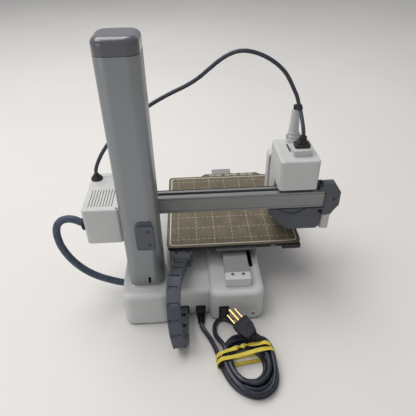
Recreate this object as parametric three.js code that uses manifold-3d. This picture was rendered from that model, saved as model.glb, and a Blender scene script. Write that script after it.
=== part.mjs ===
// Cantilever desktop 3-D printer: a low base carries a sliding heated bed, and one column carries
// an arm along which the print head travels. Millimetres, +Z up, front towards -Y, column at +X.
import * as THREE from 'three';
import { mergeVertices } from 'three/addons/utils/BufferGeometryUtils.js';
import Module from 'manifold-3d';

const wasm = await Module();
wasm.setup();

// ---- Driving dimensions. The bed stands centred on X = 0, Y = 0 and the floor is Z = 0. ----
const FRAME_SHIFT = new THREE.Vector3(-26.8, -36.3, 0); // brings the printer's box onto the origin
const GAP = 0.3; // between pieces that touch
const WALL = 2.5;

const BASE_BOTTOM = 2;
const RAIL_BOX = { x: [-34.5, 38.7], y: [-146, 163.7], top: 52 };
const CABLE_BOX = { x: [30, 96], y: [-40, 150.5], top: 45.5 };
const COLUMN_BOX = { x: [90, 153.7], y: [-40, 163.2], top: 54.5 };
const BELT_SLOT = { x: [-26, -18], y: [-90, 114] };

const BED_HALF = 95;
const PLATE_TOP = 76;
const PLATE_THICKNESS = 3;
const HEATBED_THICKNESS = 4.4;
const RAIL_HALF = 16.5;
const RAIL_TOP = 64;
const RAIL_Y = [-117, 137.4];
const RAIL_BLOCK_TOP = 66;

const COLUMN = { x: [97.8, 143.3], y: [96.5, 145.2], top: 349, corner: 13 };
const CAP_TOP = 365.5;
const SCREW = { x: 120.5, y: 121, radius: 4 };
const GUIDE_OFFSET = 13.5;
const GUIDE_RADIUS = 4;

const BEAM = { x: [-118.1, 145.7], y: [76, 93.5], z: [134.6, 158.5] };
const GROOVE_Y = [80.8, 86.7];
const MOTOR_HOUSING = { x: [146, 192.4], y: [29.4, 121], z: [112, 163.5] };
const X_PULLEY = { motor: 167, idler: -126, y: 76.9, radius: 5.5, z: [148.8, 156.2] };
const Y_PULLEY = { motor: -122, idler: 131, z: 31, radius: 10, x: [-25.5, -18.5] };
const BELT_THICKNESS = 1.4;
const GROMMET = { x: 184, y: 45.3 };

const HEAD = { x: [-106.5, -56], y: [28, 94.5], top: 204.5 };
const NOZZLE = { x: -84, y: 36, tip: 82.6 };

const ARM_CABLE_RADIUS = 4.7;
const HEAD_CABLE_RADIUS = 2.4;
const CORD_RADIUS = 3;

// ---- Materials ----
const finish = (color, roughness, metalness = 0) =>
  new THREE.MeshStandardMaterial({ color, roughness, metalness });
const WHITE = finish(0xd2d2ce, 0.55);
const DARK = finish(0x3d4044, 0.6);
const BLACK = finish(0x1b1c1f, 0.7);
const CHARCOAL = finish(0x4a4e52, 0.45);
const COLUMN_GREY = finish(0x74787a, 0.4, 0.5);
const BEAM_GREY = finish(0x9a9c9d, 0.35, 0.8);
const STEEL = finish(0xb4b6b8, 0.3, 1);
const BRASS = finish(0xb08a3c, 0.3, 1);
const BRONZE = finish(0x6b6152, 0.75);
const BOARD = finish(0x1f4d36, 0.5);
const GLASS = finish(0x0c0d10, 0.1);
const SHEATH = finish(0x3f4a5a, 0.8);
const YELLOW = finish(0xe2d91f, 0.6);

// ---- Solids ----
function solid(geometry) {
  const bare = geometry.index ? geometry.toNonIndexed() : geometry.clone();
  bare.deleteAttribute('normal');
  bare.deleteAttribute('uv');
  const merged = mergeVertices(bare, 1e-4);
  const mesh = new wasm.Mesh({
    numProp: 3,
    vertProperties: new Float32Array(merged.attributes.position.array),
    triVerts: new Uint32Array(merged.index.array),
  });
  return new wasm.Manifold(mesh);
}

function cut(body, ...tools) {
  return tools.reduce((left, tool) => left.subtract(tool), body);
}

function join(...bodies) {
  return bodies.reduce((all, body) => all.add(body));
}

// A box from its lower and upper limits along each axis.
function block(x, y, z) {
  const geometry = new THREE.BoxGeometry(x[1] - x[0], y[1] - y[0], z[1] - z[0]);
  geometry.translate((x[0] + x[1]) / 2, (y[0] + y[1]) / 2, (z[0] + z[1]) / 2);
  return solid(geometry);
}

const AXIS_TURN = {
  x: (g) => g.rotateZ(-Math.PI / 2),
  y: (g) => g,
  z: (g) => g.rotateX(Math.PI / 2),
};

// A round bar along one axis; the centre's coordinate along that axis is ignored.
function rod(axis, centre, radius, from, to, sides = 20) {
  const geometry = new THREE.CylinderGeometry(radius, radius, to - from, sides);
  AXIS_TURN[axis](geometry);
  const place = new THREE.Vector3(...centre);
  place[axis] = (from + to) / 2;
  geometry.translate(place.x, place.y, place.z);
  return solid(geometry);
}

// A turned piece standing on +Z, from [radius, height] pairs.
function turned(profile, x, y, sides = 20) {
  const points = profile.map(([r, z]) => new THREE.Vector2(r, z));
  const geometry = new THREE.LatheGeometry(points, sides);
  geometry.rotateX(Math.PI / 2);
  geometry.translate(x, y, 0);
  return solid(geometry);
}

function roundedRectangle(u, v, radius) {
  const shape = new THREE.Shape();
  shape.absarc(u[1] - radius, v[0] + radius, radius, -Math.PI / 2, 0);
  shape.absarc(u[1] - radius, v[1] - radius, radius, 0, Math.PI / 2);
  shape.absarc(u[0] + radius, v[1] - radius, radius, Math.PI / 2, Math.PI);
  shape.absarc(u[0] + radius, v[0] + radius, radius, Math.PI, Math.PI * 1.5);
  shape.closePath();
  return shape;
}

function polygon(points) {
  return new THREE.Shape(points.map(([u, v]) => new THREE.Vector2(u, v)));
}

const PRISM_BASIS = {
  x: [[0, 1, 0], [0, 0, 1], [1, 0, 0]],
  y: [[1, 0, 0], [0, 0, 1], [0, -1, 0]],
  z: [[1, 0, 0], [0, 1, 0], [0, 0, 1]],
};

// An outline drawn in (y, z), (x, z) or (x, y), drawn out along x, y or z, with eased ends.
function prism(axis, shape, from, to, bevel = 0, segments = 4) {
  const geometry = new THREE.ExtrudeGeometry(shape, {
    depth: to - from - 2 * bevel,
    curveSegments: segments,
    bevelEnabled: bevel > 0,
    bevelThickness: bevel,
    bevelSize: bevel,
    bevelOffset: -bevel,
    bevelSegments: 2,
  });
  geometry.translate(0, 0, bevel);
  const [u, v, w] = PRISM_BASIS[axis].map((row) => new THREE.Vector3(...row));
  geometry.applyMatrix4(new THREE.Matrix4().makeBasis(u, v, w));
  const start = axis === 'y' ? to : from;
  geometry.translate(axis === 'x' ? start : 0, axis === 'y' ? start : 0, axis === 'z' ? start : 0);
  return solid(geometry);
}

// A box with rounded upright edges and eased top and bottom edges.
function casing(x, y, z, corner, bevel = 0) {
  return prism('z', roundedRectangle(x, y, corner), z[0], z[1], bevel, corner > 4 ? 4 : 2);
}

function shrink([low, high], by) {
  return [low + by, high - by];
}

function circle(radius, sides) {
  const points = [];
  for (let i = 0; i < sides; i += 1) {
    const angle = (2 * Math.PI * i) / sides;
    points.push([radius * Math.cos(angle), radius * Math.sin(angle)]);
  }
  return polygon(points);
}

// A section swept along a smooth curve through the given points. A level section keeps its
// first side along X.
function swept(points, shape, steps, level = false) {
  const stations = points.map((point) => new THREE.Vector3(...point));
  const path = new THREE.CatmullRomCurve3(stations, false, 'centripetal');
  if (level) path.computeFrenetFrames = (segments) => levelFrames(path, segments);
  return solid(new THREE.ExtrudeGeometry(shape, { steps, extrudePath: path, curveSegments: 1 }));
}

function levelFrames(path, segments) {
  const frames = { tangents: [], normals: [], binormals: [] };
  for (let i = 0; i <= segments; i += 1) {
    const tangent = path.getTangentAt(i / segments);
    const side = new THREE.Vector3(1, 0, 0).addScaledVector(tangent, -tangent.x).normalize();
    frames.tangents.push(tangent);
    frames.normals.push(side);
    frames.binormals.push(tangent.clone().cross(side));
  }
  return frames;
}

// A toothed belt round two equal pulleys, as a flat loop drawn in the plane of the pulleys.
function beltLoop(axis, first, second, level, pulleyRadius, from, to) {
  const stadium = (Outline, radius) => {
    const outline = new Outline();
    outline.absarc(second, level, radius, -Math.PI / 2, Math.PI / 2);
    outline.absarc(first, level, radius, Math.PI / 2, Math.PI * 1.5);
    outline.closePath();
    return outline;
  };
  const shape = stadium(THREE.Shape, pulleyRadius + GAP + BELT_THICKNESS);
  shape.holes.push(stadium(THREE.Path, pulleyRadius + GAP));
  return prism(axis, shape, from, to, 0, 8);
}

// A spur gear outline with straight-sided teeth.
function gearShape(teeth, root, tip, phase) {
  const points = [];
  const pitch = (2 * Math.PI) / teeth;
  for (let i = 0; i < teeth; i += 1) {
    for (const [offset, radius] of [[-0.27, root], [-0.11, tip], [0.11, tip], [0.27, root]]) {
      const angle = phase + pitch * (i + offset);
      points.push([radius * Math.cos(angle), radius * Math.sin(angle)]);
    }
  }
  return polygon(points);
}

const printer = new THREE.Group();

function place(name, material, body) {
  const { numProp, vertProperties, triVerts } = body.getMesh();
  const positions = new Float32Array((vertProperties.length / numProp) * 3);
  for (let i = 0; i < positions.length / 3; i += 1) {
    for (let k = 0; k < 3; k += 1) positions[3 * i + k] = vertProperties[numProp * i + k];
  }
  const geometry = new THREE.BufferGeometry();
  geometry.setAttribute('position', new THREE.BufferAttribute(positions, 3));
  geometry.setIndex(new THREE.BufferAttribute(new Uint32Array(triVerts), 1));
  geometry.computeVertexNormals();
  const mesh = new THREE.Mesh(geometry, material);
  mesh.name = name;
  printer.add(mesh);
}

// ---- Base ----
const INLET = { x: [44.4, 57.6], z: [4.4, 17.6] };
const CHAIN_MOUTH = { x: [67, 87], z: [BASE_BOTTOM - 1, 18.5] };
const SWITCH = { x: [14.5, 25.5], z: [4.8, 28.2], pivot: [157.5, 16.5] };
const CABLE_HOLE = { y: 112, z: 30 };
const SCREEN = { x: [112, 170], depth: 2.5 };
const BASE_BOXES = [RAIL_BOX, CABLE_BOX, COLUMN_BOX];

function baseShell() {
  const outer = BASE_BOXES.map((b) => casing(b.x, b.y, [BASE_BOTTOM, b.top], 11, 4));
  const hollow = BASE_BOXES.map((b) =>
    block(shrink(b.x, WALL), shrink(b.y, WALL), [BASE_BOTTOM - 1, b.top - WALL]),
  );
  const screwHole = block([102.4, 138.6], [109, 133], [COLUMN_BOX.top - 5, COLUMN_BOX.top + 1]);
  const { y, z } = CABLE_HOLE;
  const sideWall = [COLUMN_BOX.x[1] - 5, COLUMN_BOX.x[1] + 1];
  const rearWall = [CABLE_BOX.y[1] - 5, CABLE_BOX.y[1] + 1];
  return cut(
    join(...outer),
    join(...hollow),
    screwHole,
    block(BELT_SLOT.x, BELT_SLOT.y, [RAIL_BOX.top - 5, RAIL_BOX.top + 1]),
    block(INLET.x, rearWall, INLET.z),
    block(CHAIN_MOUTH.x, rearWall, CHAIN_MOUTH.z),
    block(SWITCH.x, [RAIL_BOX.y[1] - 5, RAIL_BOX.y[1] + 1], SWITCH.z),
    rod('x', [0, y, z], ARM_CABLE_RADIUS + 1.3, ...sideWall),
  );
}

// A slab let into the sloping front of the screen housing, parallel to the slope.
function screenSlab(x, margin, depth) {
  const slope = Math.atan2(39, 62);
  const length = Math.hypot(39, 62) - 2 * margin;
  const slab = block(shrink(x, margin), [0, length], [-depth, depth === SCREEN.depth ? 1 : 0]);
  const low = [-118 + margin * Math.cos(slope), 31 + margin * Math.sin(slope)];
  return slab.rotate([THREE.MathUtils.radToDeg(slope), 0, 0]).translate([0, ...low]);
}

function buildBase() {
  place('base_shell', WHITE, baseShell());
  const plates = BASE_BOXES.map((b) => casing(shrink(b.x, 2), shrink(b.y, 2), [0.9, 1.7], 9));
  place('base_plate', DARK, join(...plates));
  place('foot_strip_bed_side', BLACK, casing([-30, -18], [-130, 155], [0, 0.6], 5));
  place('foot_strip_column_side', BLACK, casing([135, 147], [-30, 155], [0, 0.6], 5));

  const supply = casing([98, 148], [-32, 88], [6, 42], 2);
  place('power_supply', STEEL, supply);
  place('mainboard', BOARD, block([38, 88], [-20, 110], [7, 9]));
  const socket = block([42, 60], [122, 147.6], [3.8, 19.6]);
  const recess = block(shrink(INLET.x, 0.2), [134, 149], shrink(INLET.z, 0.2));
  place('power_inlet', BLACK, cut(socket, recess));

  const [pivotY, pivotZ] = SWITCH.pivot;
  const rocker = polygon([
    [pivotY - 2, 7], [pivotY + 8, 6.6], [pivotY + 6.2, pivotZ], [pivotY + 8.6, 26.4], [pivotY - 2, 26],
  ]);
  place('power_switch', BLACK, prism('x', rocker, SWITCH.x[0] + 0.6, SWITCH.x[1] - 0.6));

  const wedge = prism('x', polygon([
    [-40.4, BASE_BOTTOM], [-40.4, 52], [-47, 66], [-56, 70], [-118, 31], [-118, BASE_BOTTOM],
  ]), ...SCREEN.x);
  place('screen_housing', WHITE, cut(wedge, screenSlab(SCREEN.x, 7, SCREEN.depth)));
  place('touch_screen', GLASS, screenSlab(SCREEN.x, 7 + GAP, SCREEN.depth - GAP));
}

function buildBedDrive() {
  const rail = block([-RAIL_HALF, RAIL_HALF], RAIL_Y, [RAIL_BOX.top + GAP, RAIL_TOP]);
  const side = [RAIL_TOP - 8, RAIL_TOP - 4];
  const groove = (from, to) => block([from, to], [RAIL_Y[0] - 1, RAIL_Y[1] + 1], side);
  const end = (y) => casing([-17.2, 17.2], y, [RAIL_BOX.top + GAP, RAIL_BLOCK_TOP], 1.5, 1);
  place('bed_rail', BEAM_GREY, join(
    cut(rail, groove(-RAIL_HALF - 1, -RAIL_HALF + 2.5), groove(RAIL_HALF - 2.5, RAIL_HALF + 1)),
    end([RAIL_Y[0] - 20, RAIL_Y[0] + 1]),
  ));
  place('rail_end_block', WHITE, end([RAIL_Y[1] + GAP, RAIL_Y[1] + 14.3]));

  const half = 17.4;
  const { motor, idler, z, radius, x } = Y_PULLEY;
  const body = block([-16.5, 18], [motor - half, motor + half], [z - half, z + half]);
  const shaft = rod('x', [0, motor, z], 2.5, x[1] + GAP, -16, 12);
  place('bed_motor', DARK, join(body, shaft));
  place('bed_motor_pulley', STEEL, rod('x', [0, motor, z], radius, x[0], x[1]));
  place('bed_idler_pulley', STEEL, rod('x', [0, idler, z], radius, x[0], x[1]));
  place('bed_belt', BLACK, beltLoop('x', motor, idler, z, radius, x[0] + 0.5, x[1] - 0.5));
}

// ---- Sliding bed ----
const CARRIAGE_Y = [-52, -2];

function buildBed() {
  const bedBottom = PLATE_TOP - PLATE_THICKNESS - GAP - HEATBED_THICKNESS;
  const deck = block([-30, 30], CARRIAGE_Y, [RAIL_TOP + 0.6, bedBottom - GAP]);
  const cheek = (x) => block(x, CARRIAGE_Y, [RAIL_BOX.top + 1.2, RAIL_TOP + 1]);
  const roller = (x) => block(x, [-40, -14], [RAIL_TOP - 7.4, RAIL_TOP - 4.6]);
  const outer = RAIL_HALF + 9.5;
  place('bed_carriage', DARK, join(
    deck,
    cheek([RAIL_HALF + 0.7, outer]),
    cheek([-outer, -RAIL_HALF - 0.7]),
    roller([RAIL_HALF - 1.8, RAIL_HALF + 1]),
    roller([-RAIL_HALF - 1, -RAIL_HALF + 1.8]),
    block([-24.5, -19.5], [-32, -20], [Y_PULLEY.z + Y_PULLEY.radius + 2.3, RAIL_BOX.top + 2]),
  ));

  const tray = casing([-93, 93], [-93, 93], [bedBottom, bedBottom + HEATBED_THICKNESS], 5);
  const ledge = casing([-33, 27], [85, 99.5], [bedBottom + 0.6, bedBottom + 3.6], 2);
  place('heatbed', DARK, join(tray, ledge));

  const sheet = [PLATE_TOP - PLATE_THICKNESS, PLATE_TOP];
  const square = casing([-BED_HALF, BED_HALF], [-BED_HALF, BED_HALF], sheet, 7);
  const tab = prism('z', polygon([[-62, -103], [32, -103], [41, -94], [-71, -94]]), ...sheet);
  place('print_plate', BRONZE, join(square, tab));

  const bracket = casing([59.5, 86.5], [93.6, 107], [57, 71.6], 2.5, 1.5);
  const tongue = block([63, 83], [78, 96], [62, bedBottom - GAP]);
  place('chain_bracket', DARK, join(bracket, tongue));
}

// Energy chain from the bed's bracket down to the floor and back into the base.
const CHAIN_POINTS = [
  [73.6, 108.2, 64.6], [73.8, 113, 64.8], [75, 121, 67.2], [78, 134, 72.5], [80.7, 150, 78],
  [83, 167, 80.5], [84.2, 183, 77],
  [84.3, 196, 67], [83.8, 204.5, 53], [82.2, 210.5, 38], [80, 212.7, 24], [78, 208.5, 13.4],
  [76.9, 197, 10.2], [76.8, 180, 10.1], [76.8, 146, 10.1],
];

function buildChain() {
  const section = roundedRectangle([-8.4, 8.4], [-6, 6], 1);
  place('energy_chain', CHARCOAL, swept(CHAIN_POINTS, section, 30, true));
}

// ---- Column ----
function buildColumn() {
  const { x, y, top, corner } = COLUMN;
  const foot = COLUMN_BOX.top + GAP;
  const tube = casing(x, y, [foot, top], corner);
  const bore = casing(shrink(x, WALL), shrink(y, WALL), [foot - 1, top + 1], corner - WALL);
  const slot = block([SCREW.x - 9, SCREW.x + 9], [y[0] - 1, y[0] + WALL + 1], [68, 342]);
  const keyhole = block([114.3, 117.7], [y[1] - WALL - 1, y[1] + 1], [60, 71]);
  place('column', COLUMN_GREY, cut(tube, bore, slot, keyhole));
  place('column_cap', CHARCOAL, casing(x, y, [top + GAP, CAP_TOP], corner, 4));

  const half = 17.4;
  const motor = block([SCREW.x - half, SCREW.x + half], [SCREW.y - half, SCREW.y + half], [6, 46]);
  place('lift_motor', DARK, motor);
  const rodZ = [46 + GAP, 344];
  const guide = (dx) => rod('z', [SCREW.x + dx, SCREW.y, 0], GUIDE_RADIUS, ...rodZ, 12);
  const bridge = cut(
    block([SCREW.x - 18.5, SCREW.x + 18.5], [SCREW.y - 7, SCREW.y + 7], [343, 347]),
    rod('z', [SCREW.x, SCREW.y, 0], SCREW.radius + 0.4, 342, 348, 12),
  );
  place('lift_screw', STEEL, rod('z', [SCREW.x, SCREW.y, 0], SCREW.radius, ...rodZ, 12));
  place('lift_guides', STEEL, join(guide(-GUIDE_OFFSET), guide(GUIDE_OFFSET), bridge));

  const outline = polygon([[101.4, 118], [104, 117], [124, 118.4], [127.6, 121], [122.8, 164], [100.8, 163]]);
  const bracket = prism('y', outline, y[1] + GAP, y[1] + 5);
  const pocket = block([103.5, 120.5], [y[1] + 2.3, y[1] + 6], [156, 166]);
  place('spool_bracket', CHARCOAL, cut(bracket, pocket));
}

// ---- Arm ----
const LIFT_BLOCK_Z = [120, 165];

function buildArm() {
  const carrier = block([SCREW.x - 18.4, SCREW.x + 18.4], [SCREW.y - 14, SCREW.y + 14], LIFT_BLOCK_Z);
  const neck = block([SCREW.x - 8, SCREW.x + 8], [BEAM.y[1] + GAP, SCREW.y - 13], [124, BEAM.z[1]]);
  const boreZ = [LIFT_BLOCK_Z[0] - 1, LIFT_BLOCK_Z[1] + 1];
  const bore = (dx, radius) => rod('z', [SCREW.x + dx, SCREW.y, 0], radius, ...boreZ, 12);
  place('lift_carriage', CHARCOAL, cut(
    join(carrier, neck),
    bore(0, SCREW.radius + 0.4),
    bore(-GUIDE_OFFSET, GUIDE_RADIUS + 0.4),
    bore(GUIDE_OFFSET, GUIDE_RADIUS + 0.4),
  ));

  const beam = block(BEAM.x, BEAM.y, BEAM.z);
  const groove = block([BEAM.x[0] - 1, BEAM.x[1] + 1], GROOVE_Y, [BEAM.z[0] + 8, BEAM.z[1] + 1]);
  place('beam', BEAM_GREY, cut(beam, groove));
  place('beam_rail', STEEL, block([-112, 140], [70.7, BEAM.y[0] - GAP], [137, 146]));

  const { x, y, z } = MOTOR_HOUSING;
  const vents = [];
  for (let i = 0; i < 9; i += 1) {
    vents.push(block([155 + 3.6 * i, 156.2 + 3.6 * i], [74, 113], [z[1] - 4, z[1] + 1]));
  }
  place('motor_housing', WHITE, cut(
    casing(x, y, z, 5, 2),
    block(shrink(x, WALL), shrink(y, WALL), [z[0] - 1, z[1] - WALL]),
    block([x[0] - 1, x[0] + 4], [66, 88], [147, 158]),
    rod('x', [0, CABLE_HOLE.y, 138], ARM_CABLE_RADIUS + 1.3, x[1] - 5, x[1] + 1),
    rod('z', [GROMMET.x, GROMMET.y, 0], 5.8, z[1] - 5, z[1] + 1),
    ...vents,
  ));

  const half = 17.4;
  const { motor, idler, radius } = X_PULLEY;
  const middle = X_PULLEY.y;
  const can = block([motor - half, motor + half], [middle - half, middle + half], [116, 142]);
  const shaft = rod('z', [motor, middle, 0], 2.5, 141, X_PULLEY.z[0] - GAP, 12);
  place('arm_motor', DARK, join(can, shaft));
  const pulley = (at) => rod('z', [at, middle, 0], radius, ...X_PULLEY.z, 16);
  place('arm_motor_pulley', STEEL, pulley(motor));
  place('arm_idler_pulley', STEEL, pulley(idler));
  const beltZ = shrink(X_PULLEY.z, 0.6);
  place('arm_belt', BLACK, beltLoop('z', idler, motor, middle, radius, ...beltZ));

  const capOutline = polygon([
    [-113.5, 171.5], [-128.5, 171.5], [-138.4, 157], [-138.8, 137], [-134.2, 130.6], [-128.4, 121],
    [-118.4, 127.5], [-118.4, 159], [-113.5, 159],
  ]);
  const pocket = block([-134.6, -112], [66, 88], [147, 158.8]);
  const wiperArm = join(
    block([-132, -120.5], [66, 84], [114.5, 119.5]),
    block([-131, -120.5], [68, 82], [114.5, 129]),
  );
  const slope = prism('x', polygon([[61, 158.4], [89, 172], [61, 172]]), -140, -112);
  place('beam_end_cap', DARK, join(cut(prism('y', capOutline, 62, 95.2), pocket, slope), wiperArm));
  place('nozzle_wiper', WHITE, casing([-134, -121.6], [66, 84], [88, 114.2], 3, 1));

  place('cable_grommet', BLACK, turned(
    [[2.8, z[1] - 4], [5.4, z[1] - 4], [5.4, z[1] + GAP], [7.8, z[1] + GAP], [7.8, z[1] + 3], [4.6, z[1] + 7],
      [2.8, z[1] + 7], [2.8, z[1] - 4]],
    GROMMET.x, GROMMET.y, 16,
  ));
}

// ---- Print head ----
const DRIVE_GEAR = { x: NOZZLE.x + 5.2, z: 170 };
const IDLER_GEAR = { x: NOZZLE.x - 5.2, z: 170 };
const FAN = { x: -82, z: 113, radius: 14 };

function headGear(centre, phase) {
  const geometry = gearShape(12, 4.1, 5.9, phase);
  const gear = prism('y', geometry, NOZZLE.y + 1, NOZZLE.y + 6);
  const hob = rod('y', [0, 0, 0], 3.4, NOZZLE.y - 4, NOZZLE.y + 2, 12);
  return join(gear, hob).translate([centre.x, 0, centre.z]);
}

function impeller(radius, from, to) {
  const hub = rod('y', [0, 0, 0], radius * 0.45, from, to, 16);
  const blades = [];
  for (let i = 0; i < 7; i += 1) {
    const blade = block([-0.7, 0.7], [from + 0.8, to], [radius * 0.4, radius]);
    blades.push(blade.rotate([0, (360 / 7) * i, 0]));
  }
  return join(hub, ...blades);
}

function buildHead() {
  const { x, y, top } = HEAD;
  const face = 62;
  const over = BEAM.z[1] + 4;
  const shell = join(
    casing(x, y, [over, top], 5, 2.5),
    casing(x, [y[0], face], [96, top], 1.5, 1),
  );
  const inside = join(
    block(shrink(x, 2), [y[0] - 1, face - 2], [94, top - 2]),
    block(shrink(x, 2), [y[0] - 1, y[1] - 2], [over + 2, top - 2]),
  );
  const plateSlot = block([-99, -65], [face - 3, face + 8.2], [over - 1, over + 3]);
  const socket = casing([-96.5, -73.5], [59, 82], [top - 1, top + 8.3], 2, 1);
  const feedHole = rod('z', [NOZZLE.x, NOZZLE.y, 0], 3.2, top - 5, top + 1, 12);
  place('head_housing', WHITE, cut(join(shell, socket), inside, plateSlot, feedHole));

  const coverX = [-109.5, -52];
  const coverZ = [96, 188];
  const cover = casing(coverX, [5, y[0] - GAP], coverZ, 5, 3);
  const recess = block(shrink(coverX, 2.2), [7.2, y[0] + 1], shrink(coverZ, 2.2));
  const mouth = rod('y', [FAN.x, 0, 140], 12.5, 4, 9, 20);
  const leverSlot = block([coverX[0] - 1, coverX[0] + 4], [9.4, 22.6], [129.4, 158.6]);
  place('head_front_cover', WHITE, cut(cover, recess, mouth, leverSlot));

  const runnerTop = block([-100, -64], [face + GAP, 74.4], [146.5, 149.1]);
  const runnerBottom = block([-100, -64], [face + GAP, 74.4], [133, 136.6]);
  const backing = block([-98, -66], [face + GAP, 69.3], [104, 176]);
  place('head_carriage', DARK, join(backing, runnerTop, runnerBottom));

  const motorAt = [DRIVE_GEAR.x, 0, DRIVE_GEAR.z];
  place('feed_motor', DARK, join(
    rod('y', motorAt, 16, NOZZLE.y + 8, face - 2.6, 24),
    rod('y', motorAt, 1.6, NOZZLE.y + 6.4, NOZZLE.y + 9, 10),
  ));
  place('drive_gear', BRASS, headGear(DRIVE_GEAR, 0));
  place('pinch_gear', BRASS, headGear(IDLER_GEAR, Math.PI / 12));

  const fins = [];
  for (let i = 0; i < 6; i += 1) fins.push(block([-94, -74], [30, 46], [110 + 5 * i, 112.4 + 5 * i]));
  const feedAxis = [NOZZLE.x, NOZZLE.y, 0];
  place('heat_sink', STEEL, join(rod('z', feedAxis, 5, 106, 158, 14), ...fins));
  const tip = [[0, NOZZLE.tip], [1, NOZZLE.tip], [4, 86], [4, 89.5], [0, 89.5]];
  place('hot_end', BRASS, join(
    block([-92, -76], [28, 44], [89, 100]),
    rod('z', feedAxis, 3, 99, 105.7, 12),
    turned(tip, NOZZLE.x, NOZZLE.y, 12),
  ));
  place('head_fan', BLACK, impeller(12, 12, 20).translate([FAN.x, 0, 140]));

  const ductOutline = polygon([
    [-46, 130.5], [-47, 122], [-58, 108], [-74, 95], [-114, 95], [-118, 98.5], [-118, 119],
    [-114.6, 123], [-114.6, 130.5],
  ]);
  const well = rod('y', [FAN.x, 0, FAN.z], FAN.radius + 2, 69, 86, 24);
  place('fan_duct', BLACK, cut(prism('y', ductOutline, 70.3, 89.5), well));
  place('part_fan', DARK, impeller(FAN.radius, 72.6, 84).translate([FAN.x, 0, FAN.z]));

  place('filament_guide', WHITE, turned(
    [[1.4, top + GAP], [9, top + GAP], [9, top + 5], [7, top + 8], [6.8, top + 16], [5.2, 249],
      [1.4, 249], [1.4, top + GAP]],
    NOZZLE.x + 1.5, NOZZLE.y, 18,
  ));
  const channel = swept(HEAD_CABLE_POINTS, circle(HEAD_CABLE_RADIUS + 0.4, 8), 66);
  const stem = casing([-85.5, -79], [33, 39], [249.4, 255.5], 2.6, 1);
  const jaw = block([-88.5, -80.5], [36, 49], [252, 258]);
  place('cable_clip', BLACK, cut(join(stem, jaw), channel));
  place('cable_plug', BLACK, join(
    casing([-96, -76], [62, 76], [top + 8.6, 220], 2, 1.5),
    turned([[0, 219], [5, 219], [3.8, 225.4], [0, 225.4]], -86.3, 69, 12),
  ));
  place('cutter_lever', CHARCOAL, block([-113.5, -106], [10, 22], [130, 158]));
}

// ---- Cables that both ends hold ----
const ARM_CABLE_POINTS = [
  [186, 112, 138], [191, 112, 138.2], [197, 112, 140.6], [204, 112, 144.8], [212.5, 112, 146.6],
  [221, 112, 144.4], [227.5, 112, 137.6], [230.8, 112, 127], [231.4, 112, 115], [229.8, 112, 102],
  [226.2, 112, 90], [220.6, 112, 77.6], [212.6, 112, 65.4], [201.6, 112, 53.6], [189, 112, 44.4],
  [176, 112, 37.8], [164, 112, 32.8], [157, 112, 30.8], [148, 112, 30],
];
const HEAD_CABLE_POINTS = [
  [184, 45.3, 158], [184, 45.3, 169], [183.2, 45.3, 178], [178.6, 45.2, 189], [171.6, 45, 201.2],
  [160, 45, 216.6], [145, 45, 232.6], [128, 45, 247.6], [110, 45, 260.2], [92, 45, 270.8],
  [74, 45, 279.8], [57.2, 45, 287.4], [42.5, 45, 296], [28.5, 45, 307], [15, 45, 317.2],
  [3, 45, 323.4], [-8, 45, 325.8], [-20, 45, 324.6], [-35, 45, 319.4], [-50, 45, 310.4],
  [-61, 45, 300.4], [-68.6, 45, 289.6], [-74.4, 45, 279], [-79.2, 45, 269.8], [-82.4, 45, 260.6],
  [-84.3, 45.6, 255], [-85.1, 49.4, 250.6], [-85.3, 56, 246], [-85.2, 62.6, 241.8], [-85.6, 67, 236.6],
  [-86.2, 68.8, 231], [-86.3, 69, 226.1],
];

function buildCables() {
  place('arm_cable', SHEATH, swept(ARM_CABLE_POINTS, circle(ARM_CABLE_RADIUS, 10), 34));
  place('head_cable', SHEATH, swept(HEAD_CABLE_POINTS, circle(HEAD_CABLE_RADIUS, 8), 66));
}

// ---- Power cord lying behind the base ----
const LEAD_POINTS = [
  [51, 169.9, 5.8], [50.6, 174.6, 4.6], [46.8, 182, 3.4], [42, 191, 3.2], [38.2, 200, 3.2],
  [35.4, 208, 3.2], [33.6, 216, 3.4],
];
const COIL = { x: -3.5, y: 237, outer: [34.5, 45], inner: [16, 18], tilt: 0.33, z: [1.9, 16.5] };

function ellipse(Outline, [rx, ry]) {
  const outline = new Outline();
  outline.absellipse(COIL.x, COIL.y, rx, ry, 0, Math.PI * 2, false, COIL.tilt);
  return outline;
}

function buildPowerCord() {
  const nose = block([45, 57], [135, 151], [5, 17]);
  const grip = casing([44, 58], [150.9, 161], [2.5, 17.4], 3, 1.5);
  const relief = turned([[0, 0], [4.4, 0], [3.3, 9], [0, 9]], 0, 0, 10).rotate([-90, 0, 0]);
  place('cord_connector', BLACK, join(nose, grip, relief.translate([51, 160, 6])));
  place('power_cord_lead', BLACK, swept(LEAD_POINTS, circle(CORD_RADIUS, 8), 16));

  const coil = ellipse(THREE.Shape, COIL.outer);
  coil.holes.push(ellipse(THREE.Path, COIL.inner));
  const ring = prism('z', coil, ...COIL.z, 0, 28);
  place('power_cord_coil', BLACK, cut(ring, swept(LEAD_POINTS, circle(CORD_RADIUS + GAP, 8), 16)));

  const plugOutline = polygon([
    [-9.5, -14], [9.5, -14], [11, -12], [11, -3], [7, 7.5], [5, 11], [-5, 11], [-7, 7.5], [-11, -3],
    [-11, -12],
  ]);
  const body = prism('z', plugOutline, -7, 7);
  const tail = rod('y', [0, 0, 0], 4.6, 10, 20, 10);
  const blade = (side) => block([side * 6.3 - 0.75, side * 6.3 + 0.75], [-31, -13], [-4.4, 1.6]);
  const earth = rod('y', [0, 0, 2.6], 2.2, -34, -13, 10);
  const plug = join(body, tail, blade(-1), blade(1), earth);
  place('mains_plug', BLACK, plug.rotate([0, 20, 0]).rotate([-8, 0, 34]).translate([-5, 202.6, 27.9]));

  const wrap = roundedRectangle([-41.4, 34.6], [0.2, 18.4], 3.2);
  wrap.holes.push(roundedRectangle([-40.2, 33.4], [1.4, 17.2], 2));
  place('rubber_band', YELLOW, prism('y', wrap, 219, 237));
}

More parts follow.
